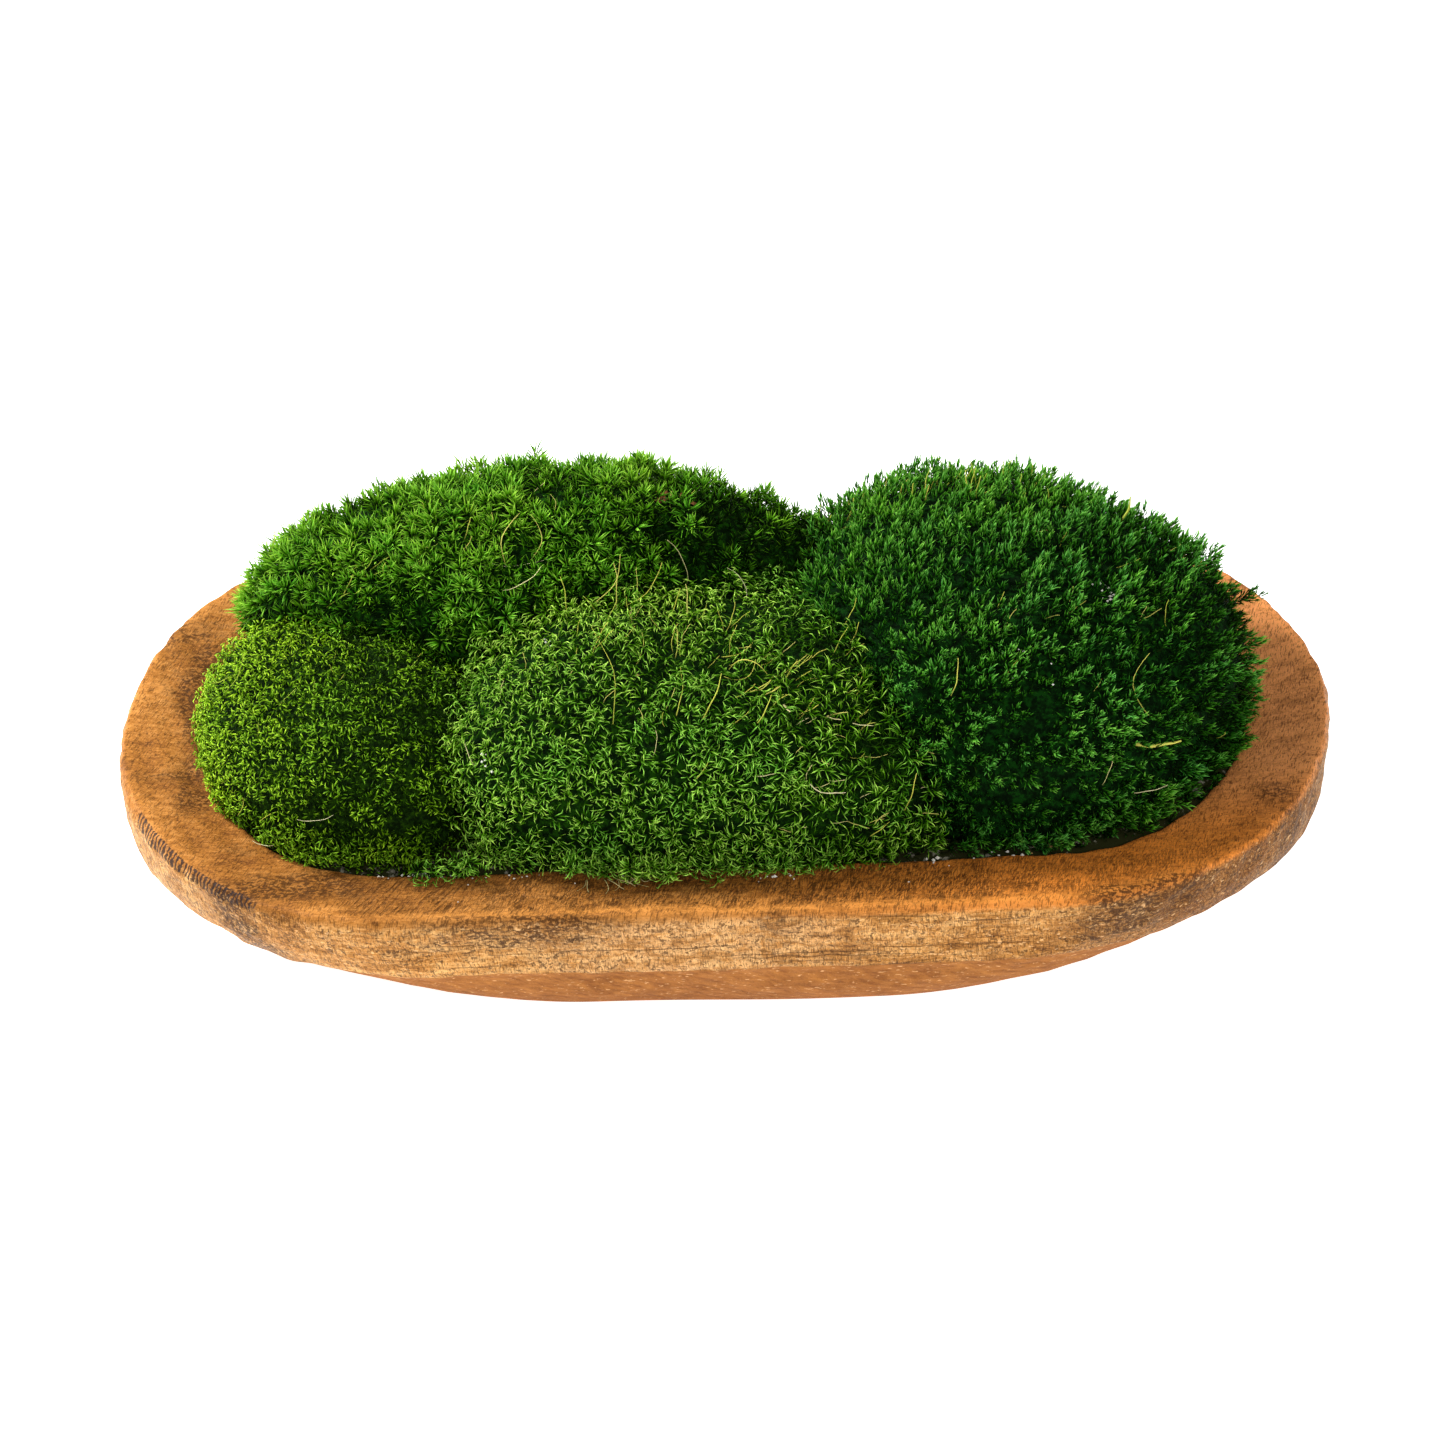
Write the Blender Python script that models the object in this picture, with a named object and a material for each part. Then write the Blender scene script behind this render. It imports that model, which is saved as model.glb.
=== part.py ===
"""Moss bowl garden: a carved wooden dough bowl, a bed of dry foam and four clumps of moss.

Metres, +Z up. The origin is below the middle of the rim, on the plane of the base, +X runs along the
bowl and -Y is its front. A clump of moss is one solid: a dome that stands on the foam,
with a three-sided tuft raised on every triangle of its surface.
"""

import math

import bmesh
import bpy
import numpy as np
from mathutils import Vector, geometry, noise

# The bowl's driving sizes
BOWL_LENGTH = 0.409
BOWL_WIDTH = 0.2154
RIM_HEIGHT = 0.071
SIDE_STRAIGHT = 0.2072  # length of the straight stretch of each side
RIM_FACE_AT_ENDS = 0.0285
RIM_FACE_AT_SIDES = 0.0287
RIM_FACE_DROP = 0.0050
EDGE_ROUND = 0.0022
BAND_FOOT_HEIGHT = 0.0422
BAND_FOOT_INSET = 0.0066  # how far the side band's foot lies inside the ridge, at the sides
BASE_LENGTH = 0.3036
BASE_WIDTH = 0.1408
BASE_STRAIGHT = 0.0966
BASE_HEIGHT = 0.0
BASE_SHIFT = 0.003  # how far along the bowl the carved base stands from its middle
BASE_SKEW = 0.016  # how much the base is turned from the rim, as a slope
FLOOR_HEIGHT = 0.019
CARVING_DEPTH = 0.0007  # how far the hand-carved outline wanders

# The underside between its base and the band, as half length, half width, half straight
# stretch and height
UNDERSIDE_SWELL = (0.1765, 0.0860, 0.0650, 0.0195)
BAND_UNDERCUT = (0.1975, 0.0976, 0.0830, 0.0375)
BAND_FOOT = (0.2033, BOWL_WIDTH / 2 - BAND_FOOT_INSET, 0.0870, BAND_FOOT_HEIGHT)
BAND_BELLY_HEIGHT = 0.0560
BAND_BELLY_INSET = 0.0030

# The hollow's wall, at shares of its depth
HOLLOW_SHARES = (0.0, 0.12, 0.35, 0.62, 0.84, 0.96, 1.0)
HOLLOW_DRAW_IN = 0.060
HOLLOW_ROUNDNESS = 2.4
HOLLOW_SLOPE = 0.006
HOLLOW_SIDE_SHARE = 0.62  # the sides draw in less than the ends

END_POINTS = 26
SIDE_POINTS = 9

# The foam bed's driving sizes
FOAM_GAP = 0.0006
FOAM_EDGE_DROP = 0.0012
FOAM_CROWN = 0.0100

# The moss clumps' driving sizes
MOSS_GAP = 0.0009  # between a clump and what it rests on
CLUMP_GAP = 0.0008  # from a clump to the line where its dome meets a neighbour's
BORDER_SLOPE = 3.3  # the steepest change of a clump's reach, as a share of it per radian
BORDER_END = 7  # directions past the end of a shared border where the wall stays straight
WALL_SHARE = 0.34  # the steep edge's share of a clump's height
CROWN_POWER = 2.3
CORNER_POWER = 8  # how squarely a clump's own outline turns into the rim's line
TUFT_SPACING = 0.0078
TUFT_CLEARANCE = 0.0008
WALL_BULGE = 0.0012
WALL_FOOT = 0.0016  # the lowest row of a wall stays this far above its foot
HIDDEN_DEPTH = 0.0040  # down a wall between clumps, where no tuft would be seen
NOTCH_ROOM = 0.0062  # kept clear of a neighbour by tufts that reach past their own ground
TUFT_JITTER = 0.0007
ROW_JITTER = 0.17  # how far a point strays from its row, as a share of the spacing
EDGE_MARGIN = 0.55  # kept between the rows and the outline, as a share of the spacing
UNDERSIDE_COARSENESS = 2.6  # the underside's spacing, as a multiple of the tufts'
LUMP_HEIGHT = 0.0011
COMPASS = 360  # directions in which a clump's reach is worked out
STRIDE = 0.0005  # step along each direction

# Each clump's centre, half sizes and top are metres. Its fullness stretches the outline
# towards E, NE, N, NW, W, SW, S and SE. Its overhang is how far it grows past the rim's
# inner edge, as a share. A swell is (x, y, half length, half width, height).
CLUMPS = (
    {
        "name": "moss_back_left",
        "centre": (-0.062, 0.032),
        "half_size": (0.104, 0.052),
        "fullness": (1.08, 1.05, 1.00, 1.00, 0.99, 1.00, 1.02, 1.00),
        "top": 0.1360,
        "overhang": 0.02,
        "swells": (
            (0.010, 0.058, 0.030, 0.008, -0.005),
            (-0.050, 0.046, 0.038, 0.035, 0.007),
            (-0.012, 0.022, 0.022, 0.012, 0.003),
        ),
        "tuft": 0.0052,
        "lean": (-0.10, 0.10),
        "colour": (0.072, 0.215, 0.012),
        "seed": 11,
    },
    {
        "name": "moss_front_left",
        "centre": (-0.126, -0.013),
        "half_size": (0.055, 0.064),
        "fullness": (1.03, 1.14, 1.00, 0.94, 1.00, 1.05, 1.00, 1.12),
        "top": 0.1120,
        "overhang": 0.02,
        "swells": (),
        "tuft": 0.0042,
        "lean": (-0.10, -0.05),
        "colour": (0.115, 0.235, 0.010),
        "seed": 12,
    },
    {
        "name": "moss_front_centre",
        "centre": (-0.008, -0.026),
        "half_size": (0.087, 0.062),
        "fullness": (1.07, 1.02, 0.95, 1.08, 0.97, 1.12, 1.00, 1.20),
        "top": 0.1210,
        "overhang": 0.05,
        "swells": ((-0.052, -0.016, 0.026, 0.026, 0.004),),
        "tuft": 0.0050,
        "lean": (0.10, -0.12),
        "colour": (0.088, 0.225, 0.012),
        "seed": 13,
    },
    {
        "name": "moss_back_right",
        "centre": (0.098, 0.004),
        "half_size": (0.082, 0.078),
        "fullness": (1.07, 0.87, 1.00, 1.08, 1.02, 1.04, 1.08, 1.02),
        "top": 0.1340,
        "overhang": 0.03,
        "swells": ((0.148, 0.045, 0.026, 0.026, -0.004),),
        "tuft": 0.0054,
        "lean": (0.22, 0.08),
        "colour": (0.016, 0.110, 0.020),
        "seed": 14,
    },
)


def clear_scene():
    """Removes whatever the open scene holds."""
    for thing in list(bpy.data.objects):
        bpy.data.objects.remove(thing)


def finish_material(name, colour, roughness):
    """A Principled material in one colour."""
    material = bpy.data.materials.new(name)
    material.use_nodes = True
    shader = material.node_tree.nodes["Principled BSDF"]
    shader.inputs["Base Color"].default_value = (*colour, 1.0)
    shader.inputs["Roughness"].default_value = roughness
    shader.inputs["Metallic"].default_value = 0.0
    material.diffuse_color = (*colour, 1.0)
    return material


def add_object(bm, name, material, collection):
    """Turns a finished bmesh into a named object of the collection."""
    mesh = bpy.data.meshes.new(name)
    bm.to_mesh(mesh)
    bm.free()
    mesh.materials.append(material)
    thing = bpy.data.objects.new(name, mesh)
    collection.objects.link(thing)
    return thing


def stadium(half_length, half_width, half_straight):
    """A closed outline, anticlockwise from +X: two half-ellipse ends joined by straight sides."""
    points = []
    for end in (1, -1):
        for i in range(END_POINTS):
            turn = math.pi * (i / END_POINTS - 0.5)
            points.append(
                (
                    end * (half_straight + (half_length - half_straight) * math.cos(turn)),
                    end * half_width * math.sin(turn),
                )
            )
        for i in range(SIDE_POINTS):
            along = half_straight * (1 - 2 * i / SIDE_POINTS)
            points.append((end * along, end * half_width))
    return points


def carving(x, y, depth=CARVING_DEPTH):
    """How far a hand tool moved the outline at this place, as a factor on its distance from the middle."""
    turn = np.arctan2(y / BOWL_WIDTH, x / BOWL_LENGTH)
    wave = np.sin(3 * turn + 0.8) + 0.7 * np.sin(5 * turn + 2.1) + 0.5 * np.sin(8 * turn)
    return 1 + depth * (wave - 1.2) / np.maximum(np.hypot(x, y), BOWL_WIDTH / 4)


def ring(half_length, half_width, half_straight, height, depth=CARVING_DEPTH):
    """One closed loop of a loft, as 3D points."""
    points = []
    for x, y in stadium(half_length, half_width, half_straight):
        grow = carving(x, y, depth)
        points.append(Vector((x * grow, y * grow, height)))
    return points


def inset_ring(at_ends, at_sides, height, depth=CARVING_DEPTH):
    """A loop that lies this far inside the bowl's ridge at its ends and at its sides."""
    return ring(
        BOWL_LENGTH / 2 - at_ends,
        BOWL_WIDTH / 2 - at_sides,
        SIDE_STRAIGHT / 2,
        height,
        depth,
    )


def move_with_base(points):
    """A loop of the underside, moved and skewed with the base, less so the higher it lies."""
    share = 1 - points[0].z / BAND_FOOT_HEIGHT
    return [
        Vector((point.x + share * BASE_SHIFT, point.y - share * BASE_SKEW * point.x, point.z))
        for point in points
    ]


def loft(rings):
    """A closed solid through the rings in order, with its first and last rings filled by a fan."""
    bm = bmesh.new()
    loops = [[bm.verts.new(point) for point in points] for points in rings]
    count = len(loops[0])
    for lower, upper in zip(loops, loops[1:]):
        for i in range(count):
            j = (i + 1) % count
            bm.faces.new((lower[i], lower[j], upper[j], upper[i]))
    for loop, first in ((loops[0], True), (loops[-1], False)):
        middle = bm.verts.new(sum((v.co for v in loop), Vector()) / count)
        for i in range(count):
            pair = (loop[i], loop[(i + 1) % count])
            bm.faces.new((middle, *(reversed(pair) if first else pair)))
    bmesh.ops.triangulate(bm, faces=bm.faces)
    return bm


def hollow_rings(gap=0.0):
    """The loops down the hollow from the rim's inner edge, drawn in by the gap."""
    edge = RIM_HEIGHT - RIM_FACE_DROP
    depth = edge - FLOOR_HEIGHT
    rings = []
    for share in HOLLOW_SHARES:
        curve = 1 - math.sqrt(1 - 0.98 * share**HOLLOW_ROUNDNESS)
        draw_in = HOLLOW_DRAW_IN * curve + HOLLOW_SLOPE * share
        rings.append(
            inset_ring(
                RIM_FACE_AT_ENDS + draw_in + gap,
                RIM_FACE_AT_SIDES + HOLLOW_SIDE_SHARE * draw_in + gap,
                edge - depth * share + gap * share,
            )
        )
    return rings


def make_bowl(material, collection):
    """The bowl: base, underside, side band, rounded ridge, sloping rim face and hollow, in one loft."""
    underside = [
        ring(BASE_LENGTH / 2, BASE_WIDTH / 2, BASE_STRAIGHT / 2, BASE_HEIGHT),
        ring(*UNDERSIDE_SWELL),
        ring(*BAND_UNDERCUT),
    ]
    outside = [move_with_base(points) for points in underside]
    outside += [
        ring(*BAND_FOOT),
        inset_ring(0.0, BAND_BELLY_INSET, BAND_BELLY_HEIGHT),
        inset_ring(0.0, 0.2 * EDGE_ROUND, RIM_HEIGHT - 2 * EDGE_ROUND),
        inset_ring(0.3 * EDGE_ROUND, 0.3 * EDGE_ROUND, RIM_HEIGHT - 0.8 * EDGE_ROUND),
        inset_ring(EDGE_ROUND, EDGE_ROUND, RIM_HEIGHT),
        inset_ring(2.2 * EDGE_ROUND, 2.2 * EDGE_ROUND, RIM_HEIGHT - 0.1 * EDGE_ROUND),
    ]
    face = [
        inset_ring(
            share * RIM_FACE_AT_ENDS,
            share * RIM_FACE_AT_SIDES,
            rim_face(share),
        )
        for share in (0.50, 0.80)
    ]
    bm = loft(outside + face + hollow_rings())
    return add_object(bm, "dough_bowl", material, collection)


def rim_share(x, y):
    """0 on the bowl's spine, 1 on the rim's inner edge and more than 1 outside it."""
    grow = carving(x, y)
    past = np.maximum(np.abs(x / grow) - SIDE_STRAIGHT / 2, 0.0)
    end = BOWL_LENGTH / 2 - RIM_FACE_AT_ENDS - SIDE_STRAIGHT / 2
    side = BOWL_WIDTH / 2 - RIM_FACE_AT_SIDES
    return np.hypot(past / end, y / grow / side)


def foam_top(share):
    """Height of the foam's crowned top."""
    edge = RIM_HEIGHT - RIM_FACE_DROP - FOAM_EDGE_DROP
    return edge + FOAM_CROWN * np.maximum(1 - share**2, 0.0)


def rim_face(inward):
    """Height of the rim face, from 0 on the ridge inward to 1 on its inner edge."""
    return RIM_HEIGHT - RIM_FACE_DROP * inward**1.3


def seat_height(x, y):
    """Height of what a clump rests on: the foam's crown, or the rim face outside it."""
    share = rim_share(x, y)
    ridge = BOWL_WIDTH / 2 / (BOWL_WIDTH / 2 - RIM_FACE_AT_SIDES)
    wood = rim_face(np.clip((ridge - share) / (ridge - 1), 0.0, 1.0))
    return np.where(share > 0.94, np.maximum(wood, foam_top(share)), foam_top(share))


def make_foam(material, collection):
    """The foam block: its sides follow the hollow just clear of the wood, and its top is crowned."""
    sides = hollow_rings(FOAM_GAP)[::-1]
    for point in sides[-1]:
        point.z -= FOAM_EDGE_DROP
    crown = []
    for share in (0.80, 0.55, 0.28):
        at_ends = (1 - share) * (BOWL_LENGTH / 2 - RIM_FACE_AT_ENDS - SIDE_STRAIGHT / 2)
        at_sides = (1 - share) * (BOWL_WIDTH / 2 - RIM_FACE_AT_SIDES)
        crown.append(
            inset_ring(
                RIM_FACE_AT_ENDS + at_ends,
                RIM_FACE_AT_SIDES + at_sides,
                foam_top(share),
            )
        )
    return add_object(loft(sides + crown), "foam_bed", material, collection)


def fullness_at(clump, turn):
    """The outline's stretch in any direction: the smooth periodic wave through the eight values."""
    total = np.zeros_like(turn)
    for i, value in enumerate(clump["fullness"]):
        away = turn - i * math.pi / 4
        weight = 1 + 2 * sum(np.cos(k * away) for k in (1, 2, 3)) + np.cos(4 * away)
        total += value * weight / 8
    return total


def clump_share(clump, x, y):
    """0 at the clump's centre and 1 on its outline, which is its own or the rim's, whichever is nearer."""
    u = (x - clump["centre"][0]) / clump["half_size"][0]
    v = (y - clump["centre"][1]) / clump["half_size"][1]
    own = np.hypot(u, v) / fullness_at(clump, np.arctan2(v, u))
    rim = rim_share(x, y) / (1 + clump["overhang"])
    return (own**CORNER_POWER + rim**CORNER_POWER) ** (1 / CORNER_POWER)


def dome_height(clump, x, y):
    """Height of a clump's surface without its tufts. Past its outline it keeps its edge's height."""
    share = np.minimum(clump_share(clump, x, y), 1.0)
    edge = RIM_HEIGHT - RIM_FACE_DROP
    rise = WALL_SHARE + (1 - WALL_SHARE) * np.sqrt(1 - share**CROWN_POWER)
    height = edge + (clump["top"] - edge) * rise
    for at_x, at_y, long, wide, swell in clump["swells"]:
        height += swell * np.exp(-(((x - at_x) / long) ** 2) - ((y - at_y) / wide) ** 2)
    return height


class Ground:
    """A clump's ground: in each direction from its centre, how far it reaches and how it falls.

    The reach ends on the clump's outline, or where a neighbour's dome stands higher. The
    surface is unrolled, so that points spread evenly over the steep edge as on the top:
    a place is a direction and the length of the way down to it over the dome and the wall.
    """

    def __init__(self, clump):
        self.clump = clump
        turns = np.linspace(0.0, 2 * math.pi, COMPASS + 1)
        steps = np.arange(0.0, 0.14, STRIDE)
        cx, cy = clump["centre"]
        x = cx + steps * np.cos(turns)[:, None]
        y = cy + steps * np.sin(turns)[:, None]
        height = dome_height(clump, x, y)
        past = clump_share(clump, x, y) > 1
        higher = np.zeros_like(past)
        for other in CLUMPS:
            if other is not clump:
                reaches = clump_share(other, x, y) <= 1
                higher |= reaches & (dome_height(other, x, y) > height)
        stop = np.argmax(past | higher, axis=1)
        rows = np.arange(len(turns))
        self.meets = higher[rows, stop] & ~past[rows, stop]
        self.turns = turns
        self.reach = steps[stop] - CLUMP_GAP
        for turned in range(1, COMPASS // 4):
            rise = 1 + BORDER_SLOPE * 2 * math.pi * turned / COMPASS
            for near in (turned, -turned):
                beside = np.roll(self.reach[:-1], near) * rise
                self.reach[:-1] = np.minimum(self.reach[:-1], beside)
        self.reach[-1] = self.reach[0]
        ends = [np.roll(self.meets[:-1], near) for near in range(-BORDER_END, BORDER_END + 1)]
        self.shared = np.append(np.any(ends, axis=0), False)
        # The way down over the dome, as a table of distance out for each share of the way.
        way = np.hypot(STRIDE, np.diff(height, axis=1, prepend=height[:, :1])).cumsum(axis=1)
        self.way = np.array([np.interp(r, steps, w) for r, w in zip(self.reach, way)])
        self.shares = np.linspace(0.0, 1.0, 60)
        self.outs = np.array(
            [np.interp(self.shares * w, line, steps) for w, line in zip(self.way, way)]
        )
        edge_x = cx + self.reach * np.cos(turns)
        edge_y = cy + self.reach * np.sin(turns)
        self.foot = seat_height(edge_x, edge_y) + MOSS_GAP
        self.wall = dome_height(clump, edge_x, edge_y) - self.foot

    def at(self, table, turn):
        """One of the tables read in any direction."""
        return np.interp(turn % (2 * math.pi), self.turns, table)

    def length(self, turn):
        """The whole way down from the clump's centre to its foot."""
        return self.at(self.way, turn) + self.at(self.wall, turn)

    def surface(self, turn, length):
        """The 3D point at each length of the way down, and how far down the wall it lies."""
        way = self.at(self.way, turn)
        column = np.minimum(length / way, 1.0) * (len(self.shares) - 1)
        row = turn % (2 * math.pi) / (2 * math.pi) * COMPASS
        r = np.minimum(row.astype(int), COMPASS - 1)
        c = np.minimum(column.astype(int), len(self.shares) - 2)
        row, column = row - r, column - c
        near = self.outs[r, c] * (1 - column) + self.outs[r, c + 1] * column
        far = self.outs[r + 1, c] * (1 - column) + self.outs[r + 1, c + 1] * column
        out = near * (1 - row) + far * row
        down = np.maximum(length - way, 0.0)
        free = 1 - np.clip(self.at(self.shared, turn) * 4, 0, 1)
        out += WALL_BULGE * free * np.sin(math.pi * np.clip(down / self.at(self.wall, turn), 0, 1))
        x = self.clump["centre"][0] + out * np.cos(turn)
        y = self.clump["centre"][1] + out * np.sin(turn)
        return x, y, dome_height(self.clump, x, y) - down, down

    def beyond(self, x, y):
        """How far plan points lie outside this ground, below 0 inside it, and whether a neighbour is there."""
        dx, dy = x - self.clump["centre"][0], y - self.clump["centre"][1]
        turn = np.arctan2(dy, dx)
        return np.hypot(dx, dy) - self.at(self.reach, turn), self.at(self.meets, turn) > 0


def even_turns(ground, spacing):
    """Directions that part the ground's outline into even steps."""
    x = ground.reach * np.cos(ground.turns)
    y = ground.reach * np.sin(ground.turns)
    walked = np.concatenate([[0.0], np.hypot(np.diff(x), np.diff(y)).cumsum()])
    count = round(walked[-1] / spacing)
    return np.interp(np.arange(count) / count * walked[-1], walked, ground.turns)


def rows_inside(limit, spacing, margin, rng):
    """Jittered points in rows, each row half a step along, out to the margin inside limit(turn)."""
    reach = max(limit(turn) for turn in np.linspace(0, 2 * math.pi, 72))
    count = int(reach / spacing) + 2
    i, j = np.meshgrid(np.arange(-count, count + 1), np.arange(-count, count + 1))
    stray = rng.uniform(-ROW_JITTER, ROW_JITTER, (2, *i.shape))
    u = spacing * (i + 0.5 * (j % 2) + stray[0])
    v = spacing * (math.sqrt(3) / 2 * j + stray[1])
    inside = np.hypot(u, v) < limit(np.arctan2(v, u)) - margin
    return u[inside], v[inside]


def filled(u, v, count):
    """Triangles that fill the outline of the first count points through all of them."""
    points = [Vector(pair) for pair in zip(u, v)]
    result = geometry.delaunay_2d_cdt(points, [], [list(range(count))], 1, 1e-7)
    return result[2]


def lumps(x, y, seed):
    """Small lumps over a clump, from smooth noise."""
    return [LUMP_HEIGHT * 2 * noise.noise(Vector((a, b, seed * 0.01)) * 75) for a, b in zip(x, y)]


def bend_tufts(tips, clump, ground, others, rng):
    """Leans each tuft and bends it clear of the neighbouring clumps and of the wood."""
    for vert in sorted(tips, key=lambda vert: vert.index):
        corners = {v for face in vert.link_faces for v in face.verts if v is not vert}
        middle = sum((v.co for v in corners), Vector()) / len(corners)
        straight = vert.co - middle
        tuft = straight.length * rng.uniform(0.80, 1.15)
        away = (straight.normalized() + Vector((*clump["lean"], 0.15))).normalized() * tuft
        away += Vector(rng.uniform(-TUFT_JITTER, TUFT_JITTER, 3))
        for share in (1.0, 0.75, 0.5, 0.25, 0.1):
            tip = middle + away * share
            past, meets = ground.beyond(tip.x, tip.y)
            clear = past < 0.0 or not meets
            for other in others:
                room = other.beyond(tip.x, tip.y)[0]
                clear = clear and (past < 0.0 or room > NOTCH_ROOM)
            if clear:
                break
        tip.z = max(tip.z, float(seat_height(tip.x, tip.y)) + TUFT_CLEARANCE)
        vert.co = tip


def make_clump(clump, grounds, material, collection):
    """A clump: dome, steep edge and underside in one closed skin, with tufts on all that can be seen."""
    rng = np.random.default_rng(clump["seed"])
    ground = grounds[clump["name"]]
    others = [other for other in grounds.values() if other is not ground]

    # The skin is filled with triangles while it is unrolled, then laid over the dome.
    rim = even_turns(ground, 0.78 * TUFT_SPACING)
    u, v = rows_inside(ground.length, TUFT_SPACING, EDGE_MARGIN * TUFT_SPACING, rng)
    turn = np.concatenate([rim, np.arctan2(v, u)])
    length = np.concatenate([ground.length(rim), np.hypot(u, v)])
    x, y, z, down = ground.surface(turn, length)
    z = np.where(down > 0, z, z + lumps(x, y, clump["seed"]))
    count = len(rim)
    seat = seat_height(x, y) + MOSS_GAP
    z = np.maximum(z, seat + WALL_FOOT)
    z[:count] = seat[:count]
    bm = bmesh.new()
    skin = [bm.verts.new(point) for point in zip(x, y, z)]
    hidden = (down > HIDDEN_DEPTH) & (ground.at(ground.meets, turn) > 0)
    tufted = []
    for triangle in filled(length * np.cos(turn), length * np.sin(turn), count):
        corners = [skin[i] for i in triangle]
        if max(triangle) < count:
            # An ear of the outline is raised in its middle, so that it has some thickness.
            middle = sum((v.co for v in corners), Vector((0, 0, 3 * WALL_FOOT))) / 3
            middle = bm.verts.new(middle)
            for i in range(3):
                bm.faces.new((corners[i], corners[(i + 1) % 3], middle))
            continue
        face = bm.faces.new(corners)
        if not any(hidden[i] for i in triangle):
            tufted.append(face)

    # The underside follows the foam's crown.
    def plan_reach(turn):
        return ground.at(ground.reach, turn)

    coarse = UNDERSIDE_COARSENESS * TUFT_SPACING
    u, v = rows_inside(plan_reach, coarse, EDGE_MARGIN * coarse, rng)
    u, v = u + clump["centre"][0], v + clump["centre"][1]
    foot = list(zip(u, v, seat_height(u, v) + MOSS_GAP))
    under = skin[:count] + [bm.verts.new(point) for point in foot]
    u, v = np.concatenate([x[:count], u]), np.concatenate([y[:count], v])
    for triangle in filled(u, v, count):
        bm.faces.new([under[i] for i in reversed(triangle)])

    bm.normal_update()
    poked = bmesh.ops.poke(bm, faces=tufted, offset=clump["tuft"], center_mode="MEAN")
    bend_tufts(poked["verts"], clump, ground, others, rng)
    return add_object(bm, clump["name"], material, collection)


def main():
    """Builds the whole garden."""
    clear_scene()
    collection = bpy.data.collections.new("moss_bowl_garden")
    bpy.context.scene.collection.children.link(collection)
    wood = finish_material("stained_wood", (0.36, 0.135, 0.032), 0.55)
    foam = finish_material("dry_foam", (0.80, 0.80, 0.76), 0.90)
    make_bowl(wood, collection)
    make_foam(foam, collection)
    grounds = {clump["name"]: Ground(clump) for clump in CLUMPS}
    for clump in CLUMPS:
        moss = finish_material(clump["name"] + "_green", clump["colour"], 0.75)
        make_clump(clump, grounds, moss, collection)


main()
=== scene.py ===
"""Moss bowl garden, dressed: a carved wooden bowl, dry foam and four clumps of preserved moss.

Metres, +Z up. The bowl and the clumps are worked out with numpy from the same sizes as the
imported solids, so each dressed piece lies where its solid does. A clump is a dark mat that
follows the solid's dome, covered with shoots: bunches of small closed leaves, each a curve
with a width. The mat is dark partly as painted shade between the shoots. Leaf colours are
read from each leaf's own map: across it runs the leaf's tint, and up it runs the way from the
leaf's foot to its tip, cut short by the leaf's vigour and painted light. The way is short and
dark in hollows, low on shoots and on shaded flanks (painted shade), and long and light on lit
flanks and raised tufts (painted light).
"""

from __future__ import annotations

import logging
import math
from dataclasses import dataclass
from enum import Enum

import bpy
import numpy as np
from mathutils import Matrix
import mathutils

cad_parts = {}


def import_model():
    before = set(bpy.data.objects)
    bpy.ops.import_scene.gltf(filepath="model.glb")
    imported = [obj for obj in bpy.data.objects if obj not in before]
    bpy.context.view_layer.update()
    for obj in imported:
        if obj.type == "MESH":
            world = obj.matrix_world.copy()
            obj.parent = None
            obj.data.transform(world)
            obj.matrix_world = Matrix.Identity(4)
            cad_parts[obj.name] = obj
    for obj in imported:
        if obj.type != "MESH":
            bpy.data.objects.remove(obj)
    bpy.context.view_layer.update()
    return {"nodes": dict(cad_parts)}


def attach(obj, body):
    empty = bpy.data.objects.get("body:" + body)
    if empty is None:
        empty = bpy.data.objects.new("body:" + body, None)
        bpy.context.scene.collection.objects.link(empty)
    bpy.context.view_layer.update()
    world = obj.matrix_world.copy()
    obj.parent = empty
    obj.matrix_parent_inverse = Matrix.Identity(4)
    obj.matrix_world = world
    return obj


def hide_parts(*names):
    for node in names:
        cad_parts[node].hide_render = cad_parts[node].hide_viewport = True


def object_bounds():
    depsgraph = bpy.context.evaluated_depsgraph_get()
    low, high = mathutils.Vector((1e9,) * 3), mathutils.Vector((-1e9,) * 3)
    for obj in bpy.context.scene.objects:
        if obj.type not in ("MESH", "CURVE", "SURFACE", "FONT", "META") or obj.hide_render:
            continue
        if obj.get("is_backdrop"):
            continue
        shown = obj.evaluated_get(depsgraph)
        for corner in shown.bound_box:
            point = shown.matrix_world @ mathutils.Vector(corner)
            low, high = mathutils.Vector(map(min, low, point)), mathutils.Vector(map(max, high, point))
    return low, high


log = logging.getLogger("moss_bowl_garden")

Array = np.ndarray
Pair = tuple[float, float]
Colour = tuple[float, float, float]
Vector = tuple[float, float, float]
Socket = bpy.types.NodeSocket
Material = bpy.types.Material
Piece = bpy.types.Object
Value = Socket | Colour | float
Mesh = tuple[Array, Array, Array]
Shoots = tuple[Array, Array, Array]

TAU = 2 * math.pi
GOLDEN_ANGLE = 2.39996
BAKE_MAP = "OFBake"


# Shared arithmetic


def waves(points: Array, wavelength: float, seed: int, count: int = 14) -> Array:
    """Smooth noise: the sum of a few plane waves of one length in random directions.

    Args:
        points: places, one row each.
        wavelength: length of a wave, in metres.
        seed: fixes the directions and phases.
        count: how many waves are summed.

    Returns:
        One value a point, about -2 to 2 with a spread of 1.
    """
    rng = np.random.default_rng(seed)
    ways = rng.normal(size=(count, points.shape[1]))
    ways *= TAU / wavelength / np.linalg.norm(ways, axis=1, keepdims=True)
    ways *= rng.uniform(0.7, 1.4, (count, 1))
    phases = rng.uniform(0.0, TAU, count)
    return np.cos(points @ ways.T + phases).sum(axis=1) * math.sqrt(2 / count)


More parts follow.
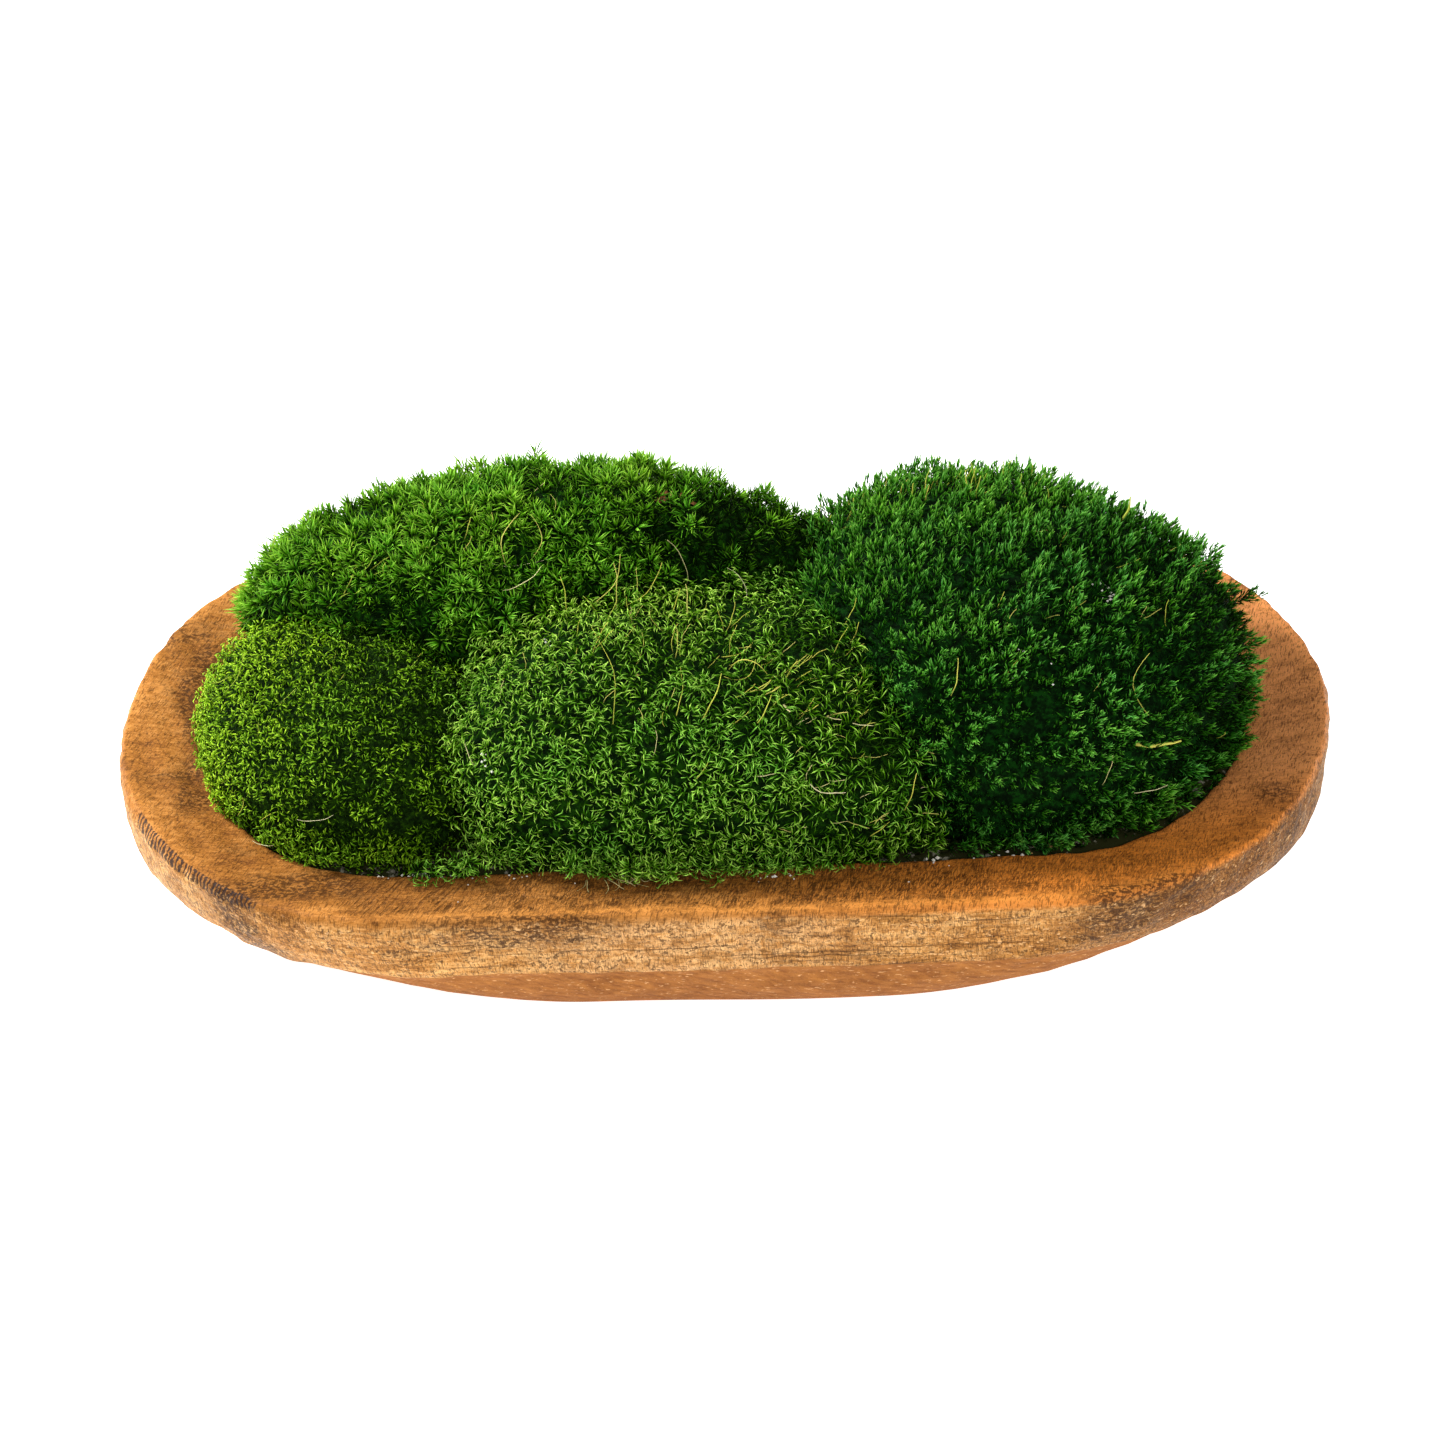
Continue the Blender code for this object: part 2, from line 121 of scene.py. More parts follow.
def unit(vectors: Array) -> Array:
    """The vectors scaled to length 1."""
    return vectors / np.maximum(np.linalg.norm(vectors, axis=-1, keepdims=True), 1e-12)


def smooth(values: Array, low: float, high: float) -> Array:
    """0 below low, 1 above high and an S curve between them."""
    t = np.clip((values - low) / (high - low), 0.0, 1.0)
    return t * t * (3 - 2 * t)


def fading(values: Array, low: float, high: float) -> Array:
    """1 below low, 0 above high and an S curve between them."""
    return smooth(-values, -high, -low)


def blob(x: Array, y: Array, at: Pair, long: float, wide: float) -> Array:
    """A bell-shaped patch on the plan: 1 at its middle, with a half length and a half width."""
    return np.exp(-(((x - at[0]) / long) ** 2) - ((y - at[1]) / wide) ** 2)


def eased_rows(knots: Array, steps: int) -> Array:
    """Rows between the knots, on cubic curves that never swing past a knot.

    Args:
        knots: the rows to pass through.
        steps: how many rows each stretch is parted into.

    Returns:
        The knots with the new rows between them.
    """
    span = np.diff(knots, axis=0)
    before, after = span[:-1], span[1:]
    agree = before * after > 0
    middle = np.where(agree, 2 * before * after / np.where(agree, before + after, 1.0), 0.0)
    slopes = np.concatenate([span[:1], middle, span[-1:]])
    t = (np.arange(steps) / steps)[None, :, None]
    start, end = knots[:-1, None], knots[1:, None]
    rise, fall = slopes[:-1, None], slopes[1:, None]
    rows = (
        (2 * t**3 - 3 * t**2 + 1) * start
        + (t**3 - 2 * t**2 + t) * rise
        + (3 * t**2 - 2 * t**3) * end
        + (t**3 - t**2) * fall
    )
    return np.concatenate([rows.reshape(-1, knots.shape[1]), knots[-1:]])


def mesh_piece(
    name: str,
    points: Array,
    faces: Array,
    uv: Array,
    material: Material,
    rounded: bool = True,
    marks: dict[str, Array] | None = None,
) -> Piece:
    """Makes a mesh object from arrays, with its place in its mesh.

    Args:
        name: the piece's name.
        points: one row a vertex.
        faces: one row a face, all with the same number of corners.
        uv: one pair for each corner of each face, in the same order.
        material: its finish.
        rounded: whether it is shaded smooth.
        marks: colour attributes by name, one RGB row a vertex.

    Returns:
        The new object.
    """
    sides = faces.shape[1]
    mesh = bpy.data.meshes.new(name)
    mesh.vertices.add(len(points))
    mesh.vertices.foreach_set("co", points.astype(np.float32).ravel())
    mesh.loops.add(faces.size)
    mesh.loops.foreach_set("vertex_index", faces.astype(np.int32).ravel())
    mesh.polygons.add(len(faces))
    starts = np.arange(len(faces), dtype=np.int32) * sides
    mesh.polygons.foreach_set("loop_start", starts)
    mesh.polygons.foreach_set("use_smooth", np.full(len(faces), rounded))
    layer = mesh.uv_layers.new(name=BAKE_MAP)
    layer.data.foreach_set("uv", uv.astype(np.float32).ravel())
    for key, rows in (marks or {}).items():
        attribute = mesh.attributes.new(key, "FLOAT_COLOR", "POINT")
        shades = np.column_stack([rows, np.ones(len(rows))])
        attribute.data.foreach_set("color", shades.astype(np.float32).ravel())
    mesh.update(calc_edges=True)
    mesh.validate()
    mesh.materials.append(material)
    piece = bpy.data.objects.new(name, mesh)
    bpy.context.scene.collection.objects.link(piece)
    return piece


def close_grid(grid: Array) -> Mesh:
    """Closes a grid of rings into one skin, with a pole before its first and after its last ring.

    Args:
        grid: rings by places round by xyz, from the bottom pole to the top one.

    Returns:
        The vertices, the triangles, and a UV pair for each corner of each triangle, where
        u runs round and v runs from pole to pole.
    """
    rings, around = grid.shape[:2]
    poles = np.array([grid[0].mean(axis=0), grid[-1].mean(axis=0)])
    points = np.concatenate([grid.reshape(-1, 3), poles])
    ring, place = np.meshgrid(np.arange(rings), np.arange(around), indexing="ij")

    def corner(step_up: int, step_on: int, rows: slice) -> tuple[Array, Array]:
        """The vertex and the UV pair a step up and a step round from each place of these rows.

        Args:
            step_up: 0, or 1 up or down.
            step_on: 0 or 1 round.
            rows: which rings.

        Returns:
            The vertices' numbers and their UV pairs.
        """
        up, on = ring[rows] + step_up, place[rows] + step_on
        number = np.where(up < 0, rings * around, up * around + on % around)
        number = np.where(up >= rings, rings * around + 1, number)
        return number, np.stack([on / around, (up + 1) / (rings + 1)], axis=-1)

    body = slice(0, rings - 1)
    turns = (
        (corner(0, 0, body), corner(0, 1, body), corner(1, 1, body)),
        (corner(0, 0, body), corner(1, 1, body), corner(1, 0, body)),
        (corner(0, 1, slice(0, 1)), corner(0, 0, slice(0, 1)), corner(-1, 0, slice(0, 1))),
        (corner(0, 0, slice(-1, None)), corner(0, 1, slice(-1, None)), corner(1, 0, slice(-1, None))),
    )
    faces = [np.stack([number for number, _ in turn], axis=-1).reshape(-1, 3) for turn in turns]
    uv = [np.stack([pair for _, pair in turn], axis=-2).reshape(-1, 3, 2) for turn in turns]
    return points, np.concatenate(faces), np.concatenate(uv)


def many(points: Array, faces: Array) -> tuple[Array, Array]:
    """The vertices and triangles of many small bodies, which all have the same triangles.

    Args:
        points: bodies by vertices by xyz.
        faces: the triangles of one body.

    Returns:
        One row a vertex, and one row a triangle.
    """
    first = np.arange(len(points))[:, None, None] * points.shape[1]
    return points.reshape(-1, 3), (first + faces).reshape(-1, 3)


@dataclass(frozen=True)
class Fleck:
    """Marks of one kind: noise stretched along turned axes, clear above the high level."""

    waves: Vector
    low: float = 0.0
    high: float = 1.0
    turn: float = 0.0
    detail: float = 2.0
    rough: float = 0.6
    warp: float = 0.0


class Shader:
    """Builds one Principled material out of nodes, a line at a time."""

    def __init__(self, name: str, roughness: float, specular: float = 0.5) -> None:
        """Starts the material.

        Args:
            name: the material's name.
            roughness: its roughness, the same all over unless one is linked.
            specular: its specular level.
        """
        self.material = bpy.data.materials.new(name)
        self.material.use_nodes = True
        self.tree = self.material.node_tree
        self.main = self.tree.nodes["Principled BSDF"]
        self.main.inputs["Roughness"].default_value = roughness
        self.main.inputs["Specular IOR Level"].default_value = specular

    def node(self, kind: str, **settings: object) -> bpy.types.Node:
        """Adds a node of this kind with these settings.

        Args:
            kind: its type, after ShaderNode.
            settings: its properties by name.

        Returns:
            The node.
        """
        made = self.tree.nodes.new("ShaderNode" + kind)
        for key, value in settings.items():
            setattr(made, key, value)
        return made

    def feed(self, socket: Socket, value: Value) -> None:
        """Links a socket to a socket, or sets its value.

        Args:
            socket: the input.
            value: an output to link, a colour or a number.
        """
        if isinstance(value, Socket):
            self.tree.links.new(value, socket)
        elif isinstance(value, tuple) and len(value) == 3 and len(socket.default_value) == 4:
            socket.default_value = (*value, 1.0)
        else:
            socket.default_value = value

    def place(self, waves_a_metre: Vector = (1, 1, 1), turn: float = 0.0) -> Socket:
        """Object coordinates turned about Z, then counted in waves along each axis.

        Args:
            waves_a_metre: how many waves a metre, along each axis.
            turn: the turn in radians.

        Returns:
            The coordinates.
        """
        mapping = self.node("Mapping", vector_type="TEXTURE")
        self.feed(mapping.inputs["Vector"], self.node("TexCoord").outputs["Object"])
        mapping.inputs["Rotation"].default_value = (0.0, 0.0, turn)
        mapping.inputs["Scale"].default_value = tuple(1 / count for count in waves_a_metre)
        return mapping.outputs["Vector"]

    def noise(
        self, where: Socket, scale: float, detail: float = 3.0, rough: float = 0.55, warp: float = 0.0
    ) -> Socket:
        """Noise from 0 to 1 at these coordinates.

        Args:
            where: the coordinates.
            scale: waves in one unit of the coordinates.
            detail: how many finer layers it has.
            rough: how strong each layer is beside the last.
            warp: how far it is distorted.

        Returns:
            The noise.
        """
        made = self.node("TexNoise")
        self.feed(made.inputs["Vector"], where)
        settings = (("Scale", scale), ("Detail", detail), ("Roughness", rough), ("Distortion", warp))
        for key, value in settings:
            made.inputs[key].default_value = value
        return made.outputs["Fac"]

    def span(self, value: Value, low: float, high: float, start: float = 0.0, end: float = 1.0) -> Socket:
        """Maps low to high onto start to end on an S curve, and holds it outside.

        Args:
            value: what is mapped.
            low: where the curve starts.
            high: where it ends.
            start: the result at low and below.
            end: the result at high and above.

        Returns:
            The result.
        """
        made = self.node("MapRange", interpolation_type="SMOOTHSTEP")
        self.feed(made.inputs["Value"], value)
        settings = (("From Min", low), ("From Max", high), ("To Min", start), ("To Max", end))
        for key, number in settings:
            made.inputs[key].default_value = number
        return made.outputs["Result"]

    def field(self, fleck: Fleck) -> Socket:
        """The stretched noise of these marks, from 0 to 1."""
        where = self.place(fleck.waves, fleck.turn)
        return self.noise(where, 1.0, fleck.detail, fleck.rough, fleck.warp)

    def flecks(self, fleck: Fleck) -> Socket:
        """The marks themselves: 0 between them and 1 on them."""
        return self.span(self.field(fleck), fleck.low, fleck.high)

    def chart(self) -> tuple[Socket, Socket, Socket]:
        """The place on the piece's own map: across, up and an unused third number."""
        return self.parts(self.node("UVMap", uv_map=BAKE_MAP).outputs["UV"])

    def maths(self, operation: str, first: Value, second: Value = 0.0) -> Socket:
        """One step of arithmetic.

        Args:
            operation: what the step does.
            first: its first value.
            second: its second value.

        Returns:
            The result.
        """
        made = self.node("Math", operation=operation)
        self.feed(made.inputs[0], first)
        self.feed(made.inputs[1], second)
        return made.outputs[0]

    def times(self, *values: Value) -> Socket:
        """All the values multiplied."""
        product = values[0]
        for value in values[1:]:
            product = self.maths("MULTIPLY", product, value)
        return product

    def blend(self, *parts: tuple[Socket, float]) -> Socket:
        """The sum of the values, each times its weight."""
        total = self.times(*parts[0])
        for value, weight in parts[1:]:
            total = self.maths("ADD", total, self.times(value, weight))
        return total

    def mix(self, share: Value, first: Value, second: Value) -> Socket:
        """Two colours mixed by a share.

        Args:
            share: 0 for the first and 1 for the second.
            first: one colour.
            second: the other.

        Returns:
            The mixed colour.
        """
        made = self.node("Mix", data_type="RGBA")
        self.feed(made.inputs["Factor"], share)
        self.feed(made.inputs[6], first)
        self.feed(made.inputs[7], second)
        return made.outputs[2]

    def ramp(self, share: Value, stops: tuple[tuple[float, Colour], ...]) -> Socket:
        """A colour for each share, through the stops in order.

        Args:
            share: where on the ramp.
            stops: places from 0 to 1, each with its colour.

        Returns:
            The colour.
        """
        made = self.node("ValToRGB")
        self.feed(made.inputs["Fac"], share)
        bar = made.color_ramp.elements
        while len(bar) < len(stops):
            bar.new(0.5)
        for element, (at, colour) in zip(bar, stops):
            element.position = at
            element.color = (*colour, 1.0)
        return made.outputs["Color"]

    def bump(self, height: Value, distance: float, strength: float, under: Socket | None = None) -> Socket:
        """A bump from this height, laid over an earlier one.

        Args:
            height: 0 to 1.
            distance: how high 1 stands, in metres.
            strength: how much of the bump is used.
            under: the earlier bump's normal, if there is one.

        Returns:
            The bumped normal.
        """
        made = self.node("Bump")
        self.feed(made.inputs["Height"], height)
        made.inputs["Distance"].default_value = distance
        made.inputs["Strength"].default_value = strength
        if under is not None:
            self.feed(made.inputs["Normal"], under)
        return made.outputs["Normal"]

    def parts(self, value: Socket) -> tuple[Socket, Socket, Socket]:
        """The three numbers of a colour or a vector."""
        made = self.node("SeparateXYZ")
        self.feed(made.inputs[0], value)
        return made.outputs[0], made.outputs[1], made.outputs[2]

    def finish(
        self, colour: Value, normal: Socket | None = None, roughness: Value | None = None
    ) -> Material:
        """Links what was built into the shader.

        Args:
            colour: the base colour.
            normal: the bumped normal, if there is one.
            roughness: a roughness that varies over the surface, if there is one.

        Returns:
            The finished material.
        """
        self.feed(self.main.inputs["Base Color"], colour)
        if normal is not None:
            self.feed(self.main.inputs["Normal"], normal)
        if roughness is not None:
            self.feed(self.main.inputs["Roughness"], roughness)
        return self.material


# The bowl


@dataclass(frozen=True)
class BowlSizes:
    """The bowl's driving sizes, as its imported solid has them."""

    length: float = 0.409
    width: float = 0.2154
    rim_height: float = 0.071
    side_straight: float = 0.2072
    face_at_ends: float = 0.0285
    face_at_sides: float = 0.0287
    face_drop: float = 0.0050
    edge_round: float = 0.0022
    floor_height: float = 0.019
    carving_depth: float = 0.0007
    foam_edge_drop: float = 0.0012
    foam_crown: float = 0.0100
    band_foot: float = 0.0422
    base_shift: float = 0.003
    base_skew: float = 0.016

    def carving(self, x: Array, y: Array) -> Array:
        """How far the tool moved the outline here, as a factor on the distance from the middle.

        Three sine waves of the direction, 3, 5 and 8 turns round.

        Args:
            x: places along the bowl.
            y: places across it.

        Returns:
            The factor at each place.
        """
        turn = np.arctan2(y / self.width, x / self.length)
        wave = np.sin(3 * turn + 0.8) + 0.7 * np.sin(5 * turn + 2.1) + 0.5 * np.sin(8 * turn)
        away = np.maximum(np.hypot(x, y), self.width / 4)
        return 1 + self.carving_depth * (wave - 1.2) / away

    def rim_share(self, x: Array, y: Array) -> Array:
        """0 on the bowl's spine, 1 on the rim's inner edge and more than 1 outside it.

        Args:
            x: places along the bowl.
            y: places across it.

        Returns:
            The share.
        """
        grow = self.carving(x, y)
        past = np.maximum(np.abs(x / grow) - self.side_straight / 2, 0.0)
        end = self.length / 2 - self.face_at_ends - self.side_straight / 2
        side = self.width / 2 - self.face_at_sides
        return np.hypot(past / end, y / grow / side)

    def rim_face(self, inward: Array | float) -> Array | float:
        """Height of the rim face, from 0 on the ridge inward to 1 on its inner edge."""
        return self.rim_height - self.face_drop * inward**1.3

    def seat_height(self, x: Array, y: Array) -> Array:
        """Height of what the moss rests on: the foam's crown, or the rim face outside it.

        Args:
            x: places along the bowl.
            y: places across it.

        Returns:
            The height at each place.
        """
        share = self.rim_share(x, y)
        ridge = self.width / 2 / (self.width / 2 - self.face_at_sides)
        wood = self.rim_face(np.clip((ridge - share) / (ridge - 1), 0.0, 1.0))
        edge = self.rim_height - self.face_drop - self.foam_edge_drop
        foam = edge + self.foam_crown * np.maximum(1 - share**2, 0.0)
        return np.where(share > 0.94, np.maximum(wood, foam), foam)


BOWL = BowlSizes()


@dataclass(frozen=True)
class WoodFields:
    """What the steps of the wood's finish read: places, shares of each kind of wear (the ridge's share also
    a painted highlight), and noise.
    """

    straight: Socket
    x: Socket
    y: Socket
    band: Socket
    under: Socket
    edge: Socket
    stain: Socket
    saw: Socket
    notch: Socket
    mottle: Socket
    grain: Socket
    fibre: Socket
    fine: Socket
    tone: Socket


@dataclass(frozen=True)
class CarvedWood:
    """Stained and worn hardwood, with a painted highlight on its worn ridge and painted light on the right
    half of its rim. The colours are linear.

    A pair that ends in x or y says between which two places a change happens. A crack is
    its start and end along x, its height, its slope and half its width.
    """

    face_dark: Colour = (0.135, 0.044, 0.008)
    face: Colour = (0.350, 0.130, 0.020)
    face_light: Colour = (0.580, 0.250, 0.060)
    band_dark: Colour = (0.150, 0.056, 0.010)
    band: Colour = (0.530, 0.230, 0.048)
    band_light: Colour = (0.860, 0.480, 0.165)
    under: Colour = (0.220, 0.074, 0.014)
    under_light: Colour = (0.410, 0.158, 0.032)
    worn_and_highlight: Colour = (0.720, 0.290, 0.060)
    stain: Colour = (0.060, 0.021, 0.004)
    notch: Colour = (0.024, 0.014, 0.012)
    red: Colour = (0.920, 0.280, 0.036)
    pink: Colour = (0.860, 0.330, 0.105)
    pale: Colour = (0.920, 0.540, 0.230)
    cracks: tuple[tuple[float, float, float, float, float], ...] = (
        (-0.058, 0.008, 0.0555, 0.020, 0.00030),
        (-0.020, 0.052, 0.0500, 0.010, 0.00022),
        (-0.096, -0.062, 0.0540, -0.060, 0.00025),
        (0.040, 0.100, 0.0530, -0.015, 0.00025),
        (0.070, 0.098, 0.0620, 0.030, 0.00030),
        (0.076, 0.094, 0.0650, -0.050, 0.00025),
    )
    crack_end: float = 0.010
    crack_bend: float = 0.0016

    mottle: Fleck = Fleck((120, 170, 170), detail=4.0, rough=0.65, warp=0.8)
    grain: Fleck = Fleck((60, 480, 480), detail=4.0, rough=0.7, warp=0.3)
    fibre: Fleck = Fleck((330, 2300, 2300), rough=0.65)
    strokes: Fleck = Fleck((420, 60, 150), turn=-0.9, detail=3.0)
    saw_across: Fleck = Fleck((2100, 190, 190), 0.50, 0.53, turn=-0.14)
    saw_askew: Fleck = Fleck((1500, 150, 150), 0.55, 0.58, turn=-0.55)
    saw_stray: Fleck = Fleck((150, 24, 24), turn=-0.42)
    saw_gaps: Fleck = Fleck((500, 60, 60), 0.42, 0.50, turn=-0.42, rough=0.55)
    dark_tick: Fleck = Fleck((2300, 420, 420), 0.55, 0.60, turn=-0.3)
    pale_tick: Fleck = Fleck((700, 2300, 2300), 0.55, 0.63, turn=0.2)
    speck: Fleck = Fleck((620, 900, 900), 0.45, 0.54)
    pit: Fleck = Fleck((640, 900, 760), 0.55, 0.61)
    crack: Fleck = Fleck((20, 520, 520), 0.64, 0.69, rough=0.5)
    chip: Fleck = Fleck((380, 560, 560), 0.62, 0.70)

    face_levels: tuple[float, float, float] = (0.41, 0.49, 0.57)
    band_levels: tuple[float, float, float] = (0.41, 0.48, 0.56)
    under_levels: Pair = (0.42, 0.58)
    pale_start_x: Pair = (-0.075, -0.045)
    pale_end_x: Pair = (0.010, 0.060)
    dark_end_x: Pair = (0.092, 0.150)
    dark_end_y: Pair = (-0.050, -0.010)
    dark_end: float = 0.90
    red_x: Pair = (-0.030, 0.120)
    red_y: Pair = (-0.080, -0.035)
    redness: float = 0.90
    red_off_ridge: float = 0.55
    red_dark: float = 0.48
    saw_left_x: Pair = (-0.084, -0.072)
    saw_pitch: float = 450
    saw_bend: float = 2.6
    saw_shade: float = 0.26
    saw_dark: float = 0.88
    notch_pitch: float = 560
    notch_turn: float = -0.78
    notch_bend: float = 2.6
    notch_dark: float = 0.90
    hurt_dark: float = 0.75
    chip_pale: float = 0.55

    def read(self, wood: Shader) -> WoodFields:
        """The places, the shares of wear and the noise that the finish is mixed from.

        Args:
            wood: the material being built.

        Returns:
            The fields.
        """
        straight = wood.place()
        x, y, _ = wood.parts(straight)
        band, under, edge = wood.parts(wood.node("Attribute", attribute_name="regions").outputs["Color"])
        stain, saw, notch = wood.parts(wood.node("Attribute", attribute_name="marks").outputs["Color"])
        cloud = wood.noise(straight, 34.0, 4.0, 0.6, 0.4)
        mottle, grain, fibre = wood.field(self.mottle), wood.field(self.grain), wood.field(self.fibre)
        fine = wood.noise(straight, 1300.0, 2.0, 0.7)
        tone = wood.blend((cloud, 0.22), (mottle, 0.24), (grain, 0.24), (fibre, 0.16), (fine, 0.14))
        return WoodFields(
            straight, x, y, band, under, edge, stain, saw, notch, mottle, grain, fibre, fine, tone
        )

    def stained(self, wood: Shader, read: WoodFields) -> Socket:
        """The colour of rim, band and underside, with a pale middle, a dark end and a worn ridge that also
        carries a painted highlight.

        Args:
            wood: the material being built.
            read: its fields.

        Returns:
            The colour.
        """
        face_colours = (self.face_dark, self.face, self.face_light)
        band_colours = (self.band_dark, self.band, self.band_light)
        below = wood.blend((read.tone, 0.6), (wood.field(self.strokes), 0.4))
        face = wood.ramp(read.tone, tuple(zip(self.face_levels, face_colours)))
        band = wood.ramp(read.tone, tuple(zip(self.band_levels, band_colours)))
        under = wood.ramp(below, tuple(zip(self.under_levels, (self.under, self.under_light))))
        colour = wood.mix(read.band, face, band)
        begun, ended = wood.span(read.x, *self.pale_start_x), wood.span(read.x, *self.pale_end_x, 1.0, 0.0)
        middle = wood.times(begun, ended)
        middle = wood.times(middle, read.band, wood.span(read.mottle, 0.42, 0.54, 0.1, 0.55))
        colour = wood.mix(middle, colour, self.pale)
        begun, ended = wood.span(read.x, *self.dark_end_x), wood.span(read.y, *self.dark_end_y, 1.0, 0.0)
        turned = wood.times(begun, ended)
        turned = wood.times(turned, read.band, wood.span(read.fine, 0.36, 0.60, 1.0, 0.55))
        colour = wood.mix(wood.times(turned, self.dark_end), colour, self.face_dark)
        colour = wood.mix(read.under, colour, under)
        colour = wood.mix(wood.times(read.saw, self.saw_shade), colour, self.face_dark)
        # The ridge's lighter colour is partly wear and partly a painted highlight.
        patchy = wood.span(read.mottle, 0.36, 0.58, 0.25, 0.85)
        worn_and_highlight = wood.times(read.edge, patchy, wood.span(read.fine, 0.36, 0.60, 0.6, 1.0))
        return wood.mix(worn_and_highlight, colour, self.worn_and_highlight)

    def red_stain_and_painted_light(self, wood: Shader, read: WoodFields, colour: Socket) -> Socket:
        """The redder right half of the rim, a red-brown stain that also lightens it as painted light: dark
        in its grain, and less red on the ridge.

        Args:
            wood: the material being built.
            read: its fields.
            colour: the colour so far.

        Returns:
            The new colour.
        """
        rim = wood.maths("SUBTRACT", 1.0, wood.maths("ADD", read.band, read.under))
        # Painted light: the red share lightens the rim's right half, which the right-hand clump shades, as
        # well as reddening it.
        redness = wood.times(wood.span(read.x, *self.red_x, 0.0, self.redness), rim)
        redness = wood.times(redness, wood.blend((1.0, 1.0), (read.edge, -self.red_off_ridge)))
        red = wood.mix(wood.span(read.y, *self.red_y, 1.0, 0.0), self.pink, self.red)
        red = wood.mix(wood.span(read.tone, 0.43, 0.53, self.red_dark, 0.0), red, self.face_dark)
        return wood.mix(redness, colour, red)

    def saw_lines(self, wood: Shader, read: WoodFields) -> Socket:
        """Short saw marks across the rim, and long slanted ones at its left.

        Args:
            wood: the material being built.
            read: its fields.

        Returns:
            Their strength.
        """
        left = wood.span(read.x, *self.saw_left_x, 1.0, 0.0)
        short = wood.maths("MAXIMUM", wood.flecks(self.saw_across), wood.flecks(self.saw_askew))
        count, _, _ = wood.parts(wood.place((self.saw_pitch, 1, 1), self.saw_stray.turn))
        turns = wood.blend((count, 1.0), (wood.field(self.saw_stray), self.saw_bend))
        ridges = wood.span(wood.maths("SINE", wood.times(turns, TAU)), 0.2, 0.6)
        long = wood.times(ridges, wood.flecks(self.saw_gaps))
        lines = wood.blend((short, 1.0), (wood.times(short, left), -0.6))
        lines = wood.maths("MAXIMUM", lines, wood.times(long, left))
        broken = wood.span(wood.noise(read.straight, 140.0, 3.0), 0.36, 0.54, 0.50, 1.0)
        worn_through = wood.span(wood.noise(read.straight, 420.0, 1.0), 0.40, 0.60, 0.70, 1.0)
        return wood.times(lines, broken, read.saw, worn_through)

    def ticked(self, wood: Shader, read: WoodFields, colour: Socket) -> Socket:
        """Fine pale and dark ticks all over that cross the grain, fewer on the underside.

        Args:
            wood: the material being built.
            read: its fields.
            colour: the colour so far.

        Returns:
            The new colour.
        """
        share = wood.maths("SUBTRACT", 0.62, wood.times(read.under, 0.45))
        colour = wood.mix(wood.times(wood.flecks(self.pale_tick), share, 0.55), colour, self.worn_and_highlight)
        return wood.mix(wood.times(wood.flecks(self.dark_tick), share), colour, self.stain)

    def blotches(self, wood: Shader, read: WoodFields) -> Socket:
        """Blotches of stain, with ragged edges and specks.

        Args:
            wood: the material being built.
            read: its fields.

        Returns:
            Their strength.
        """
        ragged = wood.blend((read.stain, 1.0), (wood.maths("SUBTRACT", read.mottle, 0.5), 1.7))
        specks = wood.blend((wood.flecks(self.speck), 0.58), (1.0, 0.30))
        return wood.times(wood.span(ragged, 0.25, 0.95), specks)

    def notch_lines(self, wood: Shader, read: WoodFields) -> Socket:
        """The notches along the ridge at the front left.

        Args:
            wood: the material being built.
            read: its fields.

        Returns:
            Their strength.
        """
        number, _, _ = wood.parts(wood.place((self.notch_pitch, 1, 1), self.notch_turn))
        wobble = wood.noise(read.straight, 260.0, 3.0, 0.6)
        turns = wood.times(wood.blend((number, 1.0), (wobble, self.notch_bend)), TAU)
        toothed = wood.span(wood.maths("SINE", turns), -0.2, 0.3, 0.12, 1.0)
        groove = wood.blend((wood.maths("SUBTRACT", wobble, 0.5), 1.4), (read.notch, 1.0))
        return wood.times(toothed, wood.span(groove, 0.45, 0.72))

    def crack_lines(self, wood: Shader, where: Socket) -> Socket:
        """Long thin cracks on the front: each follows a sloping line, bent a little by noise.

        Args:
            wood: the material being built.
            where: the object coordinates.

        Returns:
            Their strength.
        """
        x, _, z = wood.parts(where)
        bend = wood.times(wood.maths("SUBTRACT", wood.noise(where, 40.0, 2.0), 0.5), self.crack_bend)
        lines = 0.0
        for start, end, height, slope, half in self.cracks:
            level = wood.blend((x, slope), (1.0, height), (bend, 1.0))
            off = wood.maths("ABSOLUTE", wood.maths("SUBTRACT", z, level))
            begun = wood.span(x, start, start + self.crack_end)
            ended = wood.span(x, end - self.crack_end, end, 1.0, 0.0)
            line = wood.times(wood.span(off, 0.3 * half, half, 1.0, 0.0), wood.times(begun, ended))
            lines = wood.maths("MAXIMUM", lines, line)
        return lines

    def hurts(self, wood: Shader, read: WoodFields) -> Socket:
        """Pits, and short and long cracks with the grain, all on the band.

        Args:
            wood: the material being built.
            read: its fields.

        Returns:
            Their strength.
        """
        cloudy = wood.span(read.mottle, 0.44, 0.58, 0.15, 1.0)
        pits = wood.times(wood.flecks(self.pit), cloudy, read.band)
        short = wood.times(wood.flecks(self.crack), read.band, 0.8)
        long = wood.times(self.crack_lines(wood, read.straight), read.band)
        return wood.maths("MAXIMUM", wood.maths("MAXIMUM", pits, short), long)

